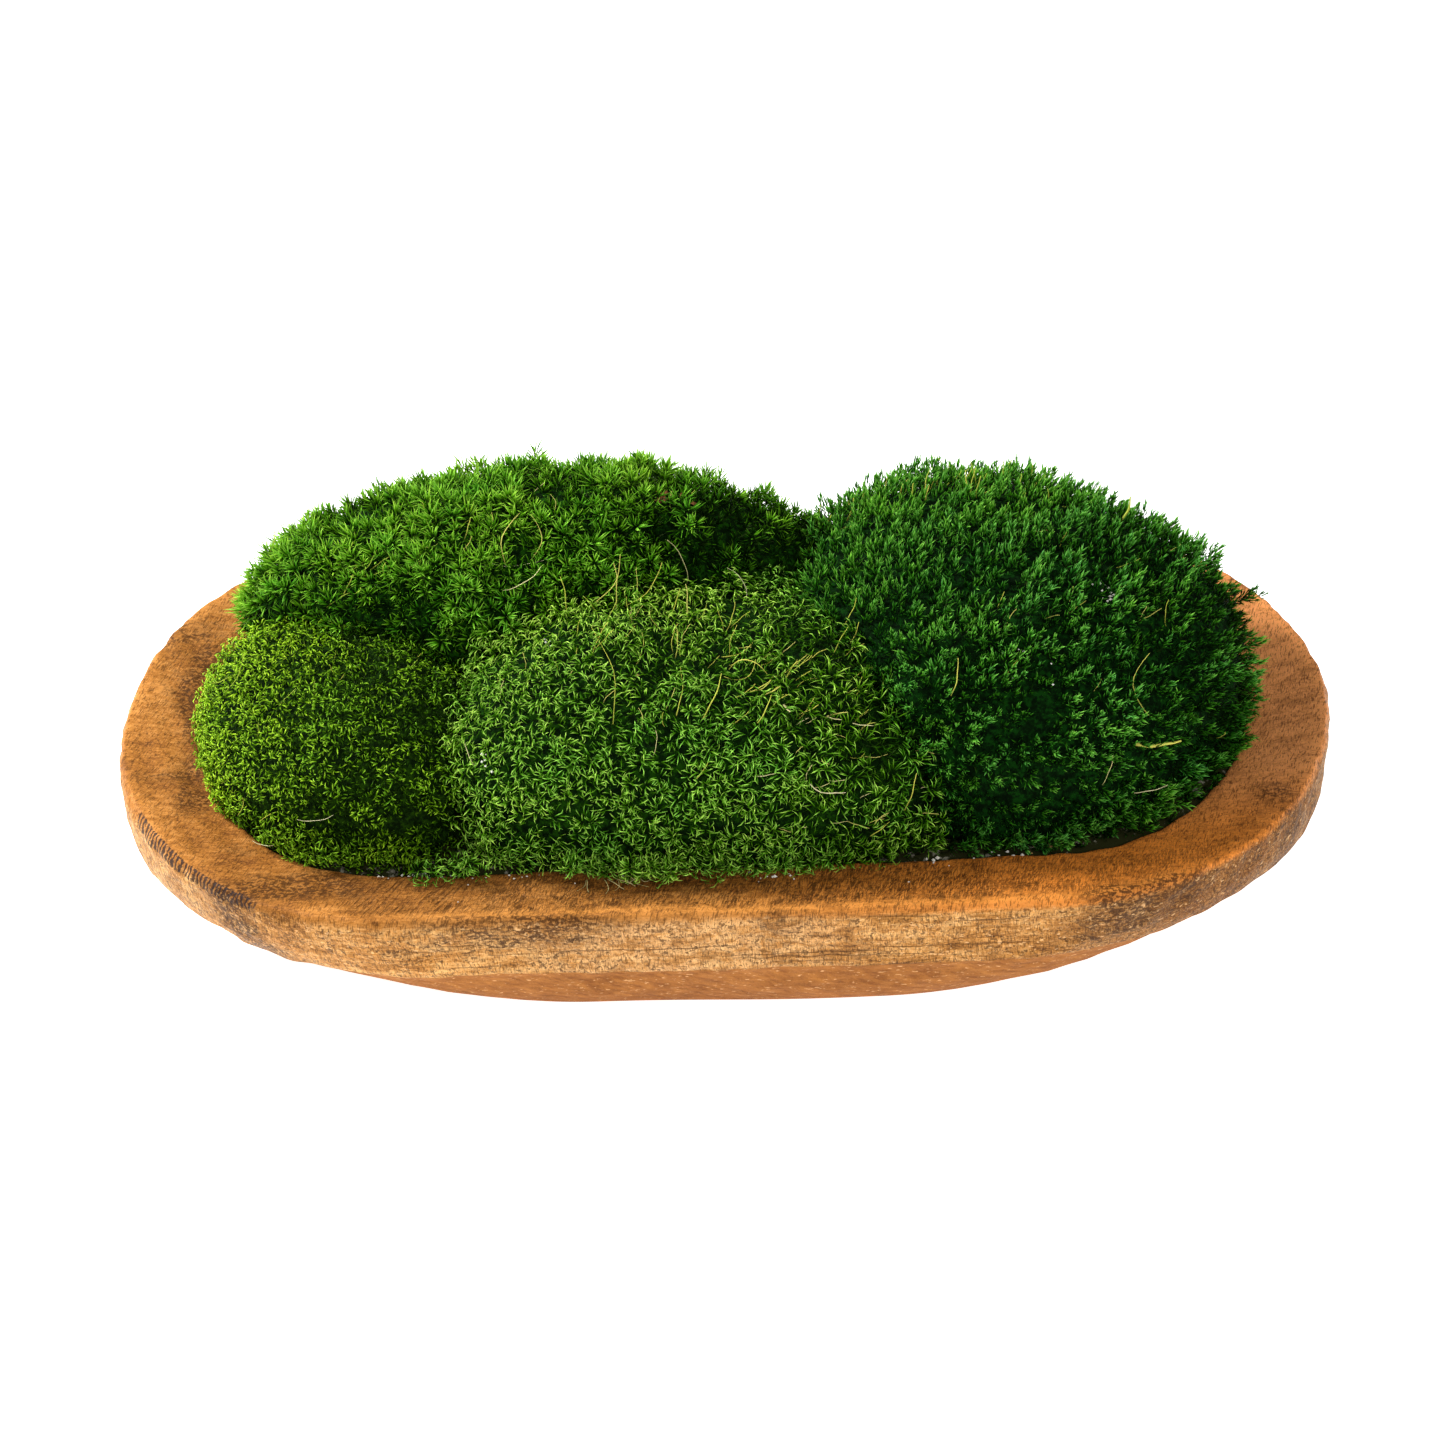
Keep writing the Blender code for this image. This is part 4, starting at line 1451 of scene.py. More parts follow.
class Ground:
    """A clump's ground: in each direction from its centre, how far it reaches and how it falls.

    The reach ends on the clump's outline, or where a neighbour's dome stands higher. The
    surface is unrolled: a place is a direction and the length of the way down to it, over
    the dome and then down the steep edge to the foot.
    """

    compass: int = 360
    stride: float = 0.0005
    clump_gap: float = 0.0008
    border_slope: float = 3.3
    border_end: int = 7
    bulge: float = 0.0012
    moss_gap: float = 0.0009
    farthest: float = 0.14
    columns: int = 60
    probe: float = 0.0012
    turn_over: Pair = (-0.006, 0.004)

    def __init__(self, clump: Clump) -> None:
        """Works out the tables of one clump's ground.

        Args:
            clump: whose ground it is.
        """
        self.clump = clump
        turns = np.linspace(0.0, TAU, self.compass + 1)
        steps = np.arange(0.0, self.farthest, self.stride)
        cx, cy = clump.centre
        x = cx + steps * np.cos(turns)[:, None]
        y = cy + steps * np.sin(turns)[:, None]
        height = clump.dome(x, y)
        past = clump.share(x, y) > 1
        higher = np.zeros_like(past)
        for other in CLUMPS:
            if other is not clump:
                higher |= (other.share(x, y) <= 1) & (other.dome(x, y) > height)
        stop = np.argmax(past | higher, axis=1)
        rows = np.arange(len(turns))
        self.meets = (higher[rows, stop] & ~past[rows, stop]).astype(float)
        self.turns = turns
        reach = steps[stop] - self.clump_gap
        for turned in range(1, self.compass // 4):
            rise = 1 + self.border_slope * TAU * turned / self.compass
            for near in (turned, -turned):
                reach[:-1] = np.minimum(reach[:-1], np.roll(reach[:-1], near) * rise)
        reach[-1] = reach[0]
        near = range(-self.border_end, self.border_end + 1)
        shared = np.max([np.roll(self.meets[:-1], turned) for turned in near], axis=0)
        self.shared = np.append(shared, shared[0])
        way = np.hypot(self.stride, np.diff(height, axis=1, prepend=height[:, :1])).cumsum(axis=1)
        self.way = np.array([np.interp(r, steps, w) for r, w in zip(reach, way)])
        self.shares = np.linspace(0.0, 1.0, self.columns)
        self.outs = np.array([np.interp(self.shares * w, line, steps) for w, line in zip(self.way, way)])
        edge_x, edge_y = cx + reach * np.cos(turns), cy + reach * np.sin(turns)
        foot = BOWL.seat_height(edge_x, edge_y) + self.moss_gap
        self.wall = clump.dome(edge_x, edge_y) - foot

    def at(self, table: Array, turn: Array) -> Array:
        """One of the tables read in any direction."""
        return np.interp(turn % TAU, self.turns, table)

    def length(self, turn: Array) -> Array:
        """The whole way down from the clump's centre to its foot."""
        return self.at(self.way, turn) + self.at(self.wall, turn)

    def out(self, turn: Array, length: Array) -> Array:
        """The plan distance from the centre at this length of the way down.

        Args:
            turn: directions from the centre.
            length: lengths of the way down.

        Returns:
            The distances.
        """
        column = np.minimum(length / self.at(self.way, turn), 1.0) * (len(self.shares) - 1)
        row = turn % TAU / TAU * self.compass
        r = np.minimum(row.astype(int), self.compass - 1)
        c = np.minimum(column.astype(int), len(self.shares) - 2)
        row, column = row - r, column - c
        near = self.outs[r, c] * (1 - column) + self.outs[r, c + 1] * column
        far = self.outs[r + 1, c] * (1 - column) + self.outs[r + 1, c + 1] * column
        return near * (1 - row) + far * row

    def surface(self, turn: Array, length: Array) -> Array:
        """The 3D points at these lengths of the way down, one row each.

        Args:
            turn: directions from the centre.
            length: lengths of the way down.

        Returns:
            The points.
        """
        down = np.maximum(length - self.at(self.way, turn), 0.0)
        free = 1 - np.clip(self.at(self.shared, turn) * 4, 0, 1)
        belly = np.sin(math.pi * np.clip(down / self.at(self.wall, turn), 0, 1))
        out = self.out(turn, length) + self.bulge * free * belly
        x = self.clump.centre[0] + out * np.cos(turn)
        y = self.clump.centre[1] + out * np.sin(turn)
        return np.stack([x, y, self.clump.dome(x, y) - down], axis=-1)

    def normals(self, turn: Array, length: Array) -> Array:
        """The surface's outward directions, from its slopes on the dome and level on the wall.

        Args:
            turn: directions from the centre.
            length: lengths of the way down.

        Returns:
            The directions, one row each.
        """
        place = self.surface(turn, np.minimum(length, self.at(self.way, turn)))
        x, y = place[:, 0], place[:, 1]
        step, dome = self.probe, self.clump.dome
        slope_x = (dome(x + step, y) - dome(x - step, y)) / (2 * step)
        slope_y = (dome(x, y + step) - dome(x, y - step)) / (2 * step)
        up = unit(np.stack([-slope_x, -slope_y, np.ones_like(x)], axis=-1))
        level = np.stack([np.cos(turn), np.sin(turn), 0.12 + 0 * turn], axis=-1)
        down = length - self.at(self.way, turn)
        share = smooth(down, *self.turn_over)[:, None]
        return unit(up * (1 - share) + unit(level) * share)


@dataclass(frozen=True)
class Variation:
    """How shoots and leaves differ: weights, spreads of random draws, and lowest and highest values."""

    strength: float = 0.80
    # Painted light: raised tufts and swells get more strength, which also lightens their leaves.
    strength_by_tuft: float = 0.18
    strength_by_swell: float = 0.10
    strength_spread: float = 0.09
    strength_limits: Pair = (0.28, 1.15)
    swell_size: float = 3.1
    swell_lift: float = 0.6
    warmth: float = 0.36
    warmth_wide: Pair = (0.030, 0.10)
    warmth_small: Pair = (0.009, 0.09)
    warmth_spread: float = 0.06
    combed_lean: float = 1.2
    combed_closing: float = 0.45
    combed_straight: float = 0.55
    combed_length: float = 0.5
    shoot_size: Pair = (0.80, 1.15)
    size_by_strength: Pair = (0.75, 0.3)
    turn_spread: float = 0.35
    opening_spread: float = 7
    curl_factor: Pair = (0.6, 1.2)
    length_factor: Pair = (0.7, 1.15)
    width_factor: Pair = (0.75, 1.2)
    tint_spread: float = 0.11
    tint_by_level: float = 0.10
    tint_limits: Pair = (0.02, 0.98)
    # Painted shade: leaves low on a shoot get less vigour, so they get darker colours.
    light_by_level: Pair = (0.46, 0.62)
    vigour_and_light_spread: float = 0.13
    vigour_and_light_limits: Pair = (0.12, 1.0)


@dataclass
class MossClump:
    """Builds a clump: the mat and the shoots that cover it."""

    clump: Clump
    most_triangles: int = 190_000
    hidden_depth: float = 0.0085
    skirt_end: float = 1.16
    wall_extra: float = 0.35
    mat_columns: int = 120
    mat_rows: int = 36
    mat_depth: float = 0.0012
    mat_lift: float = 0.0006
    seat_gap: float = 0.0004
    jitter: float = 0.36
    foam_share: float = 0.985
    foam_shade: float = 0.22
    sprig_shade: float = -0.12
    sprig_stray: Pair = (0.0012, 0.22)
    dome_reach: float = 0.17
    skirt_reach: float = 0.14
    foot_inset: float = 0.0006
    wall_start: float = -0.016
    shade_span: Pair = (-0.004, 0.012)
    border_span: Pair = (-0.012, 0.004)
    border_shade: float = 0.22
    rim_inside: float = 0.995
    skirt_lift: float = 0.0012
    skirt_lean: float = 0.45
    blade_share: float = 0.45
    curl_shares: Pair = (0.36, 0.74)
    keel: float = -0.7
    side_tint: float = 0.012
    tip_tint: float = 0.002
    variation: Variation = Variation()
    curl_triangles: int = 12
    blade_triangles: int = 4

    def __post_init__(self) -> None:
        """Works out the clump's ground once."""
        self.ground = Ground(self.clump)
        self.form = FORMS[self.clump.habit]
        self.rng = np.random.default_rng(self.clump.seed)

    def mat(self) -> Piece:
        """The dark mat: the ground's surface a little below the shoots' feet, closed underneath."""
        around, rows = self.mat_columns, self.mat_rows
        turn = np.linspace(0.0, TAU, around, endpoint=False)
        share = np.linspace(0.0, 1.0, rows + 1)[1:, None]
        whole = self.ground.length(turn)
        turns = np.broadcast_to(turn, (rows, around))
        lengths = share * whole
        place = self.ground.surface(turns.ravel(), lengths.ravel())
        normal = self.ground.normals(turns.ravel(), lengths.ravel())
        low = [patch.sunk * patch.over(place[:, 0], place[:, 1]) for patch in self.clump.patches]
        sunk = self.mat_depth + sum(low)
        place = place - normal * sunk[:, None]
        place[:, 2] = np.maximum(place[:, 2], BOWL.seat_height(place[:, 0], place[:, 1]) + self.mat_lift)
        grid = place.reshape(rows, around, 3)
        centre = np.array(self.clump.centre)
        under = []
        for shrink in (0.4, 0.8):
            plan = centre + (grid[-1][:, :2] - centre) * shrink
            level = BOWL.seat_height(plan[:, 0], plan[:, 1]) + self.seat_gap
            under.append(np.column_stack([plan, level]))
        stack = np.concatenate([np.array(under), grid[::-1]])
        points, faces, uv = close_grid(stack)
        name = self.clump.name + "_mat"
        return mesh_piece(name, points, faces, uv, self.clump.green.mat_material(name))

    def jittered_rows(self, reach: float) -> tuple[Array, Array]:
        """Places on jittered rows, each row set off half a step from the last.

        Args:
            reach: how far the rows go each way.

        Returns:
            Their two coordinates.
        """
        spacing = self.form.spacing
        count = int(reach / spacing)
        i, j = np.meshgrid(np.arange(-count, count + 1), np.arange(-count, count + 1))
        stray = self.rng.uniform(-self.jitter, self.jitter, (2, *i.shape))
        u = (spacing * (i + 0.5 * (j % 2) + stray[0])).ravel()
        v = (spacing * (math.sqrt(3) / 2 * j + stray[1])).ravel()
        return u, v

    def dome_shoots(self) -> Shoots:
        """The feet, ways up and shade of the shoots on the dome and on its steep edge.

        The unrolled ground is covered by jittered rows. A row is thinned by the plan
        distance over the length of the way, because unrolling stretches it that much.
        """
        ground = self.ground
        u, v = self.jittered_rows(self.dome_reach)
        turn, length = np.arctan2(v, u), np.hypot(u, v)
        inside = length < ground.length(turn) - self.foot_inset
        turn, length = turn[inside], length[inside]
        down = length - ground.at(ground.way, turn)
        fuller = 1 + self.wall_extra * smooth(down, self.wall_start, 0.0)
        keep = self.rng.uniform(size=len(turn)) < fuller * ground.out(turn, length) / length
        walled = (down > self.hidden_depth) & (ground.at(ground.meets, turn) > 0.5)
        turn, length = turn[keep & ~walled], length[keep & ~walled]
        down = length - ground.at(ground.way, turn)
        shade = self.clump.foot_shade * smooth(down, *self.shade_span)
        shade += self.border_shade * smooth(down, *self.border_span) * ground.at(ground.shared, turn)
        return ground.surface(turn, length), ground.normals(turn, length), shade

    def skirt_shoots(self) -> Shoots:
        """The feet, ways up and shade of the shoots on the bare foam round the clump."""
        u, v = self.jittered_rows(self.skirt_reach)
        x, y = self.clump.centre[0] + u, self.clump.centre[1] + v
        own = self.clump.share(x, y)
        others = np.min([c.share(x, y) for c in CLUMPS if c is not self.clump], axis=0)
        bare = (own > self.foam_share) & (own < self.skirt_end)
        bare &= others > np.maximum(own, self.foam_share)
        bare &= BOWL.rim_share(x, y) < self.rim_inside
        x, y = x[bare], y[bare]
        foot = np.stack([x, y, BOWL.seat_height(x, y) + self.skirt_lift], axis=-1)
        away = np.stack([x - self.clump.centre[0], y - self.clump.centre[1], 0 * x], axis=-1)
        way_up = unit(self.skirt_lean * unit(away) + (0.0, 0.0, 1.0))
        return foot, way_up, np.full(len(x), self.foam_shade)

    def hanging_shoots(self) -> Shoots:
        """The feet, ways and shade of the clump's sprigs."""
        aside, askew = self.sprig_stray
        feet, ways = [np.zeros((0, 3))], [np.zeros((0, 3))]
        for sprig in self.clump.sprigs:
            along = np.linspace(-sprig.spread, sprig.spread, sprig.count)[:, None] * (1.0, 0.0, 0.0)
            feet.append(np.array(sprig.foot) + along + self.rng.normal(0, aside, (sprig.count, 3)))
            ways.append(np.array(sprig.axis) + self.rng.normal(0, askew, (sprig.count, 3)))
        feet = np.concatenate(feet)
        return feet, unit(np.concatenate(ways)), np.full(len(feet), self.sprig_shade)

    def shoots(self) -> dict[str, Array]:
        """Where the shoots stand, which way they grow, and how warm, strong and combed they are; their
        strength also carries painted light and shade.
        """
        form, rng, clump, vary = self.form, self.rng, self.clump, self.variation
        sets = [self.dome_shoots(), self.skirt_shoots(), self.hanging_shoots()]
        foot, normal, shade = (np.concatenate(part) for part in zip(*sets))
        tuft = waves(foot, clump.tuft_size, clump.seed)
        swell = waves(foot, vary.swell_size * clump.tuft_size, clump.seed + 7)
        # Painted light and shade: strength rises on raised tufts and swells and falls by the painted shade
        # of walls, borders and bare foam. It sizes the shoots and lightens their leaves.
        strength = vary.strength + vary.strength_by_tuft * tuft + vary.strength_by_swell * swell
        strength = strength + rng.normal(0, vary.strength_spread, len(foot)) - shade
        (wide, more), (small, less) = vary.warmth_wide, vary.warmth_small
        warmth = vary.warmth + more * waves(foot, wide, clump.seed + 50)
        warmth += less * waves(foot, small, clump.seed + 60) + rng.normal(0, vary.warmth_spread, len(foot))
        combed, sunk = np.zeros(len(foot)), np.full(len(foot), form.sunk)
        for patch in clump.patches:
            over = patch.over(foot[:, 0], foot[:, 1])
            sunk += patch.sunk * over
            strength += patch.vigour_and_light * over
            warmth += patch.warmth * over
            combed += patch.combed * over
        lift = clump.tuft_height * (tuft + vary.swell_lift * swell) - sunk
        foot = foot + normal * lift[:, None]
        lean = np.array(clump.lean) * (1 + vary.combed_lean * combed[:, None])
        axis = unit(normal + lean + rng.normal(0, form.straying, foot.shape))
        return {
            "foot": foot,
            "axis": axis,
            "strength": np.clip(strength, *vary.strength_limits),
            "warmth": warmth,
            "combed": combed,
        }

    def leaves(self) -> dict[str, Array]:
        """Every leaf of the clump: where it grows, which way, how far it turns, its tint, and its vigour,
        which carries painted light and shade.

        Up a shoot's stem the leaves open less. Their places round it follow the golden
        angle.
        """
        form, rng, vary = self.form, self.rng, self.variation
        shoots = self.shoots()
        foot, axis = shoots["foot"], shoots["axis"]
        count, k = len(foot), form.leaves
        level = (np.arange(k) + rng.uniform(0, 1, (count, k))) / k
        least, more = vary.size_by_strength
        size = rng.uniform(*vary.shoot_size, (count, 1)) * (least + more * shoots["strength"][:, None])
        beside = unit(np.cross(axis, rng.normal(size=axis.shape)))
        third = np.cross(axis, beside)
        around = np.arange(k) * GOLDEN_ANGLE + rng.normal(0, vary.turn_spread, (count, k))
        ring = np.cos(around)[..., None] * beside[:, None] + np.sin(around)[..., None] * third[:, None]
        low, high = form.opening
        combed = shoots["combed"][:, None]
        opening = (low + (high - low) * level) * (1 - vary.combed_closing * combed)
        opening = np.radians(opening + rng.normal(0, vary.opening_spread, level.shape))
        heading = np.cos(opening)[..., None] * axis[:, None] + np.sin(opening)[..., None] * ring
        root = foot[:, None] + axis[:, None] * (form.stem * size * level)[..., None]
        root = root + ring * (form.cushion * size * np.sqrt(1 - level**2))[..., None]
        bend = form.outward * ring - form.droop * axis[:, None]
        bend = unit(bend + form.wayward * unit(rng.normal(size=heading.shape)))
        curl = form.curl * (1 - vary.combed_straight * combed) * rng.uniform(*vary.curl_factor, level.shape)
        bend = bend * curl[..., None]
        length = form.leaf_length * size * (1 + vary.combed_length * combed)
        length = length * rng.uniform(*vary.length_factor, level.shape)
        width = form.leaf_width * rng.uniform(*vary.width_factor, level.shape)
        tint = shoots["warmth"][:, None] + rng.normal(0, vary.tint_spread, level.shape)
        tint = tint + vary.tint_by_level * (level - 0.5)
        # Painted light and shade: a leaf's vigour sets how far up its colour ramp it reaches.
        foot_part, top_part = vary.light_by_level
        vigour_and_light = shoots["strength"][:, None] * (foot_part + top_part * level)
        vigour_and_light = vigour_and_light + rng.normal(0, vary.vigour_and_light_spread, level.shape)
        return {
            "root": root.reshape(-1, 3),
            "heading": heading.reshape(-1, 3),
            "bend": bend.reshape(-1, 3),
            "length": length.ravel(),
            "width": width.ravel(),
            "tint": np.clip(tint, *vary.tint_limits).ravel(),
            "vigour_and_light": np.clip(vigour_and_light, *vary.vigour_and_light_limits).ravel(),
        }

    def leaf_mesh(self, leaves: dict[str, Array]) -> Mesh:
        """Turns leaves into small closed blades.

        A leaf is an arc: root + length * (sin(k s) / k * heading + (1 - cos(k s)) / k * inward),
        with k the angle it turns by. A blade has four corners: its foot, the two sides of its
        fold and its tip. A curl has two three-sided sections between its foot and its tip.

        Args:
            leaves: the leaves' places, ways, turns, widths, tints, and vigour with painted light and shade,
                one row each.

        Returns:
            The vertices, the triangles, and a UV pair for each corner.
        """
        heading, bend = leaves["heading"], leaves["bend"]
        root, length, width = leaves["root"], leaves["length"][:, None], leaves["width"][:, None]
        turn = np.linalg.norm(bend, axis=1, keepdims=True)
        across = unit(np.cross(heading, bend) + 1e-6 * heading[:, [1, 2, 0]])
        inward = np.cross(across, heading)

        def along(share: float) -> Array:
            """The leaf's arc at this share of its length."""
            forward, aside = np.sin(turn * share) / turn, (1 - np.cos(turn * share)) / turn
            return root + length * (forward * heading + aside * inward)

        columns, rises, sides = [along(0.0)], [0.0], [0.0]
        corners = ((0.5, 0.0), (-0.5, 0.0), (0.0, self.keel))
        shares = self.curl_shares if self.form.thin else (self.blade_share,)
        for share in shares:
            outward = np.sin(turn * share) * heading - np.cos(turn * share) * inward
            for side, keel in corners if self.form.thin else corners[:2]:
                columns.append(along(share) + width * (side * across - keel * outward))
                rises.append(share)
                sides.append(self.side_tint * side)
        columns.append(along(1.0))
        rises.append(1.0)
        sides.append(self.tip_tint)
        faces = [(0, 2, 1), (3, 1, 2), (0, 3, 2), (0, 1, 3)]
        if self.form.thin:
            faces = []
            for a, b in ((1, 2), (2, 3), (3, 1)):
                faces += [(0, b, a), (a, b, b + 3), (a, b + 3, a + 3), (a + 3, b + 3, 7)]
        points = np.stack(columns, axis=1)
        faces = np.array(faces)
        seat = BOWL.seat_height(points[..., 0], points[..., 1]) + self.seat_gap
        points[..., 2] = np.maximum(points[..., 2], seat)
        u = np.clip(leaves["tint"][:, None] + np.array(sides), 0.0, 1.0)
        # Painted light and shade: the leaf's vigour cuts short its way up the colour ramp.
        v = np.clip(leaves["vigour_and_light"][:, None] * np.array(rises), 0.0, 1.0)
        uv = np.stack([u, v], axis=-1)
        return *many(points, faces), uv[:, faces].reshape(-1, 3, 2)

    def build(self) -> int:
        """Makes the mat and the shoots in place of the clump's plain solid.

        Returns:
            How many triangles the shoots have.
        """
        pieces = [self.mat()]
        leaves = self.leaves()
        each = self.curl_triangles if self.form.thin else self.blade_triangles
        total = len(leaves["tint"]) * each
        parts = max(1, math.ceil(total / self.most_triangles))
        material = self.clump.green.leaf_material(self.clump.name + "_leaf")
        order = np.argsort(leaves["root"][:, 0], kind="stable")
        for i, chosen in enumerate(np.array_split(order, parts)):
            some = {key: rows[chosen] for key, rows in leaves.items()}
            points, faces, uv = self.leaf_mesh(some)
            name = f"{self.clump.name}_shoots_{i + 1}"
            pieces.append(mesh_piece(name, points, faces, uv, material, rounded=False))
        for piece in pieces:
            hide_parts(self.clump.name)
            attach(piece, "root")
        return total


# What lies loose on the moss


@dataclass(frozen=True)
class Stalk:
    """One dry stalk: foot, way to its tip, how far it bows, its width and its tint."""

    foot: Vector
    reach: Vector
    bow: float = 0.08
    width: float = 0.0005
    tint: float = 0.4


@dataclass(frozen=True)
class StalkField:
    """A patch of a clump with loose stalks on it."""

    clump: int
    at: Pair
    long: float
    wide: float
    count: int
    length: float
    way: Vector
    width: float = 0.0004
    tint: float = 0.4


@dataclass(frozen=True)
class DryStalks:
    """Straw, hairs and root threads, each a thin closed tube on a bent curve."""

    seed: int = 21
    sections: int = 8
    slimness: float = 0.62
    ink: tuple[tuple[float, Colour], ...] = (
        (0.0, (0.820, 0.760, 0.480)),
        (0.3, (0.780, 0.680, 0.220)),
        (0.5, (0.640, 0.620, 0.090)),
        (0.7, (0.400, 0.560, 0.060)),
        (1.0, (0.260, 0.110, 0.035)),
    )
    placed: tuple[Stalk, ...] = (
        Stalk((-0.0421, -0.0112, 0.1220), (0.0110, 0.0, 0.0200), 0.14, 0.0005, 0.30),
        Stalk((-0.0495, -0.0160, 0.1220), (-0.0010, 0.0, 0.0155), 0.04, 0.0005, 0.42),
        Stalk((-0.0336, -0.0151, 0.1235), (0.0005, 0.0, 0.0180), 0.04, 0.0005, 0.30),
        Stalk((-0.0300, -0.0140, 0.1235), (0.0120, 0.0, 0.0170), 0.12, 0.0004, 0.36),
        Stalk((-0.0272, -0.0080, 0.1215), (0.0008, 0.0, 0.0130), 0.04, 0.0004, 0.30),
        Stalk((-0.0107, -0.0202, 0.1210), (0.0004, 0.0, 0.0150), 0.03, 0.0006, 0.25),
        Stalk((-0.0110, 0.0020, 0.1160), (-0.0052, 0.0, 0.0220), 0.14, 0.0004, 0.15),
        Stalk((0.0080, -0.0050, 0.1150), (-0.0049, 0.0, 0.0160), 0.20, 0.0004, 0.02),
        Stalk((-0.0692, 0.0008, 0.1310), (0.0060, 0.0, 0.0200), -0.16, 0.0005, 0.28),
        Stalk((-0.0610, 0.0030, 0.1310), (0.0010, 0.0, 0.0180), 0.20, 0.0004, 0.28),
        Stalk((-0.0800, 0.0030, 0.1330), (0.0260, 0.0, -0.0010), 0.12, 0.0004, 0.02),
        Stalk((-0.0700, -0.0080, 0.1270), (0.0130, 0.0, 0.0090), 0.10, 0.0004, 0.12),
        Stalk((-0.0346, -0.0613, 0.1120), (-0.0067, 0.0338, 0.0135), 0.10, 0.0004, 0.40),
        Stalk((-0.0146, -0.0617, 0.1150), (0.0019, 0.0187, 0.0050), 0.06, 0.0005, 0.40),
        Stalk((-0.0065, -0.0616, 0.1130), (0.0068, 0.0124, 0.0085), 0.05, 0.0007, 0.42),
        Stalk((0.0111, -0.0638, 0.1125), (0.0045, 0.0060, 0.0065), 0.05, 0.0006, 0.42),
        Stalk((0.0005, -0.0371, 0.1190), (0.0100, 0.0024, 0.0035), 0.14, 0.0006, 0.36),
        Stalk((0.0009, -0.0461, 0.1180), (0.0103, 0.0022, 0.0045), 0.34, 0.0006, 0.34),
        Stalk((0.0026, -0.0437, 0.1190), (0.0120, -0.0058, 0.0020), -0.30, 0.0006, 0.34),
        Stalk((0.0087, -0.0517, 0.1155), (0.0070, 0.0010, 0.0040), 0.05, 0.0006, 0.34),
        Stalk((0.0140, -0.0535, 0.1160), (0.0048, 0.0015, 0.0020), 0.05, 0.0006, 0.30),
        Stalk((0.0196, -0.0567, 0.1140), (0.0017, -0.0050, 0.0010), 0.02, 0.0013, 0.16),
        Stalk((0.0399, -0.0226, 0.1190), (0.0044, 0.0, 0.0110), 0.05, 0.0005, 0.42),
        Stalk((0.0419, -0.0295, 0.1170), (0.0028, 0.0, 0.0085), 0.05, 0.0005, 0.40),
        Stalk((0.0410, -0.0649, 0.1120), (0.0066, 0.0010, -0.0018), 0.03, 0.0005, 0.10),
        Stalk((0.0330, -0.0604, 0.1115), (0.0045, -0.0030, 0.0010), 0.03, 0.0005, 0.16),
        Stalk((-0.0093, -0.0747, 0.0990), (0.0045, 0.0020, 0.0060), 0.05, 0.0005, 0.40),
        Stalk((0.0090, -0.0750, 0.1000), (0.0072, -0.0010, 0.0018), 0.03, 0.0005, 0.12),
        Stalk((0.0300, -0.0815, 0.0980), (0.0080, 0.0015, -0.0015), 0.03, 0.0006, 0.06),
        Stalk((0.0268, -0.0790, 0.0995), (0.0035, -0.0030, -0.0012), 0.05, 0.0006, 0.06),
        Stalk((0.0568, -0.0777, 0.0865), (0.0034, 0.0, 0.0150), 0.04, 0.0005, 0.36),
        Stalk((0.0456, -0.0815, 0.0795), (0.0062, 0.0020, 0.0040), 0.04, 0.0005, 0.40),
        Stalk((-0.0821, -0.0575, 0.1035), (0.0028, -0.0055, -0.0050), 0.05, 0.0004, 0.12),
        Stalk((0.0723, -0.0595, 0.1175), (0.0017, 0.0, 0.0150), 0.06, 0.0005, 0.34),
        Stalk((0.1356, -0.0600, 0.1070), (0.0004, 0.0130, 0.0155), -0.26, 0.0006, 0.34),
        Stalk((0.1306, -0.0650, 0.1000), (0.0156, 0.0070, -0.0045), 0.06, 0.0020, 0.34),
        Stalk((0.1334, 0.0140, 0.1315), (0.0026, 0.0, 0.0095), 0.10, 0.0013, 0.46),
        Stalk((0.1200, -0.0700, 0.0880), (0.0030, 0.0, 0.0120), 0.05, 0.0004, 0.20),
        Stalk((0.1300, -0.0720, 0.0860), (0.0110, 0.0020, 0.0010), 0.05, 0.0004, 0.06),
        Stalk((-0.1622, -0.0225, 0.1000), (0.0060, 0.0100, 0.0080), 0.10, 0.0004, 0.50),
        Stalk((-0.1680, -0.0150, 0.0980), (0.0080, 0.0010, 0.0030), 0.06, 0.0004, 0.50),
        Stalk((-0.1365, -0.0695, 0.0840), (0.0120, -0.0020, 0.0030), 0.10, 0.0003, 0.00),
        Stalk((-0.1530, -0.0615, 0.0690), (0.0070, -0.0030, 0.0005), 0.10, 0.0004, 0.00),
        Stalk((-0.1500, 0.0300, 0.1180), (0.0030, 0.0, 0.0150), 0.06, 0.0005, 0.44),
        Stalk((-0.1200, 0.0080, 0.1240), (0.0150, 0.0, 0.0060), 0.16, 0.0006, 0.62),
        Stalk((-0.1240, 0.0080, 0.1230), (0.0110, 0.0, 0.0075), 0.16, 0.0006, 0.60),
    )
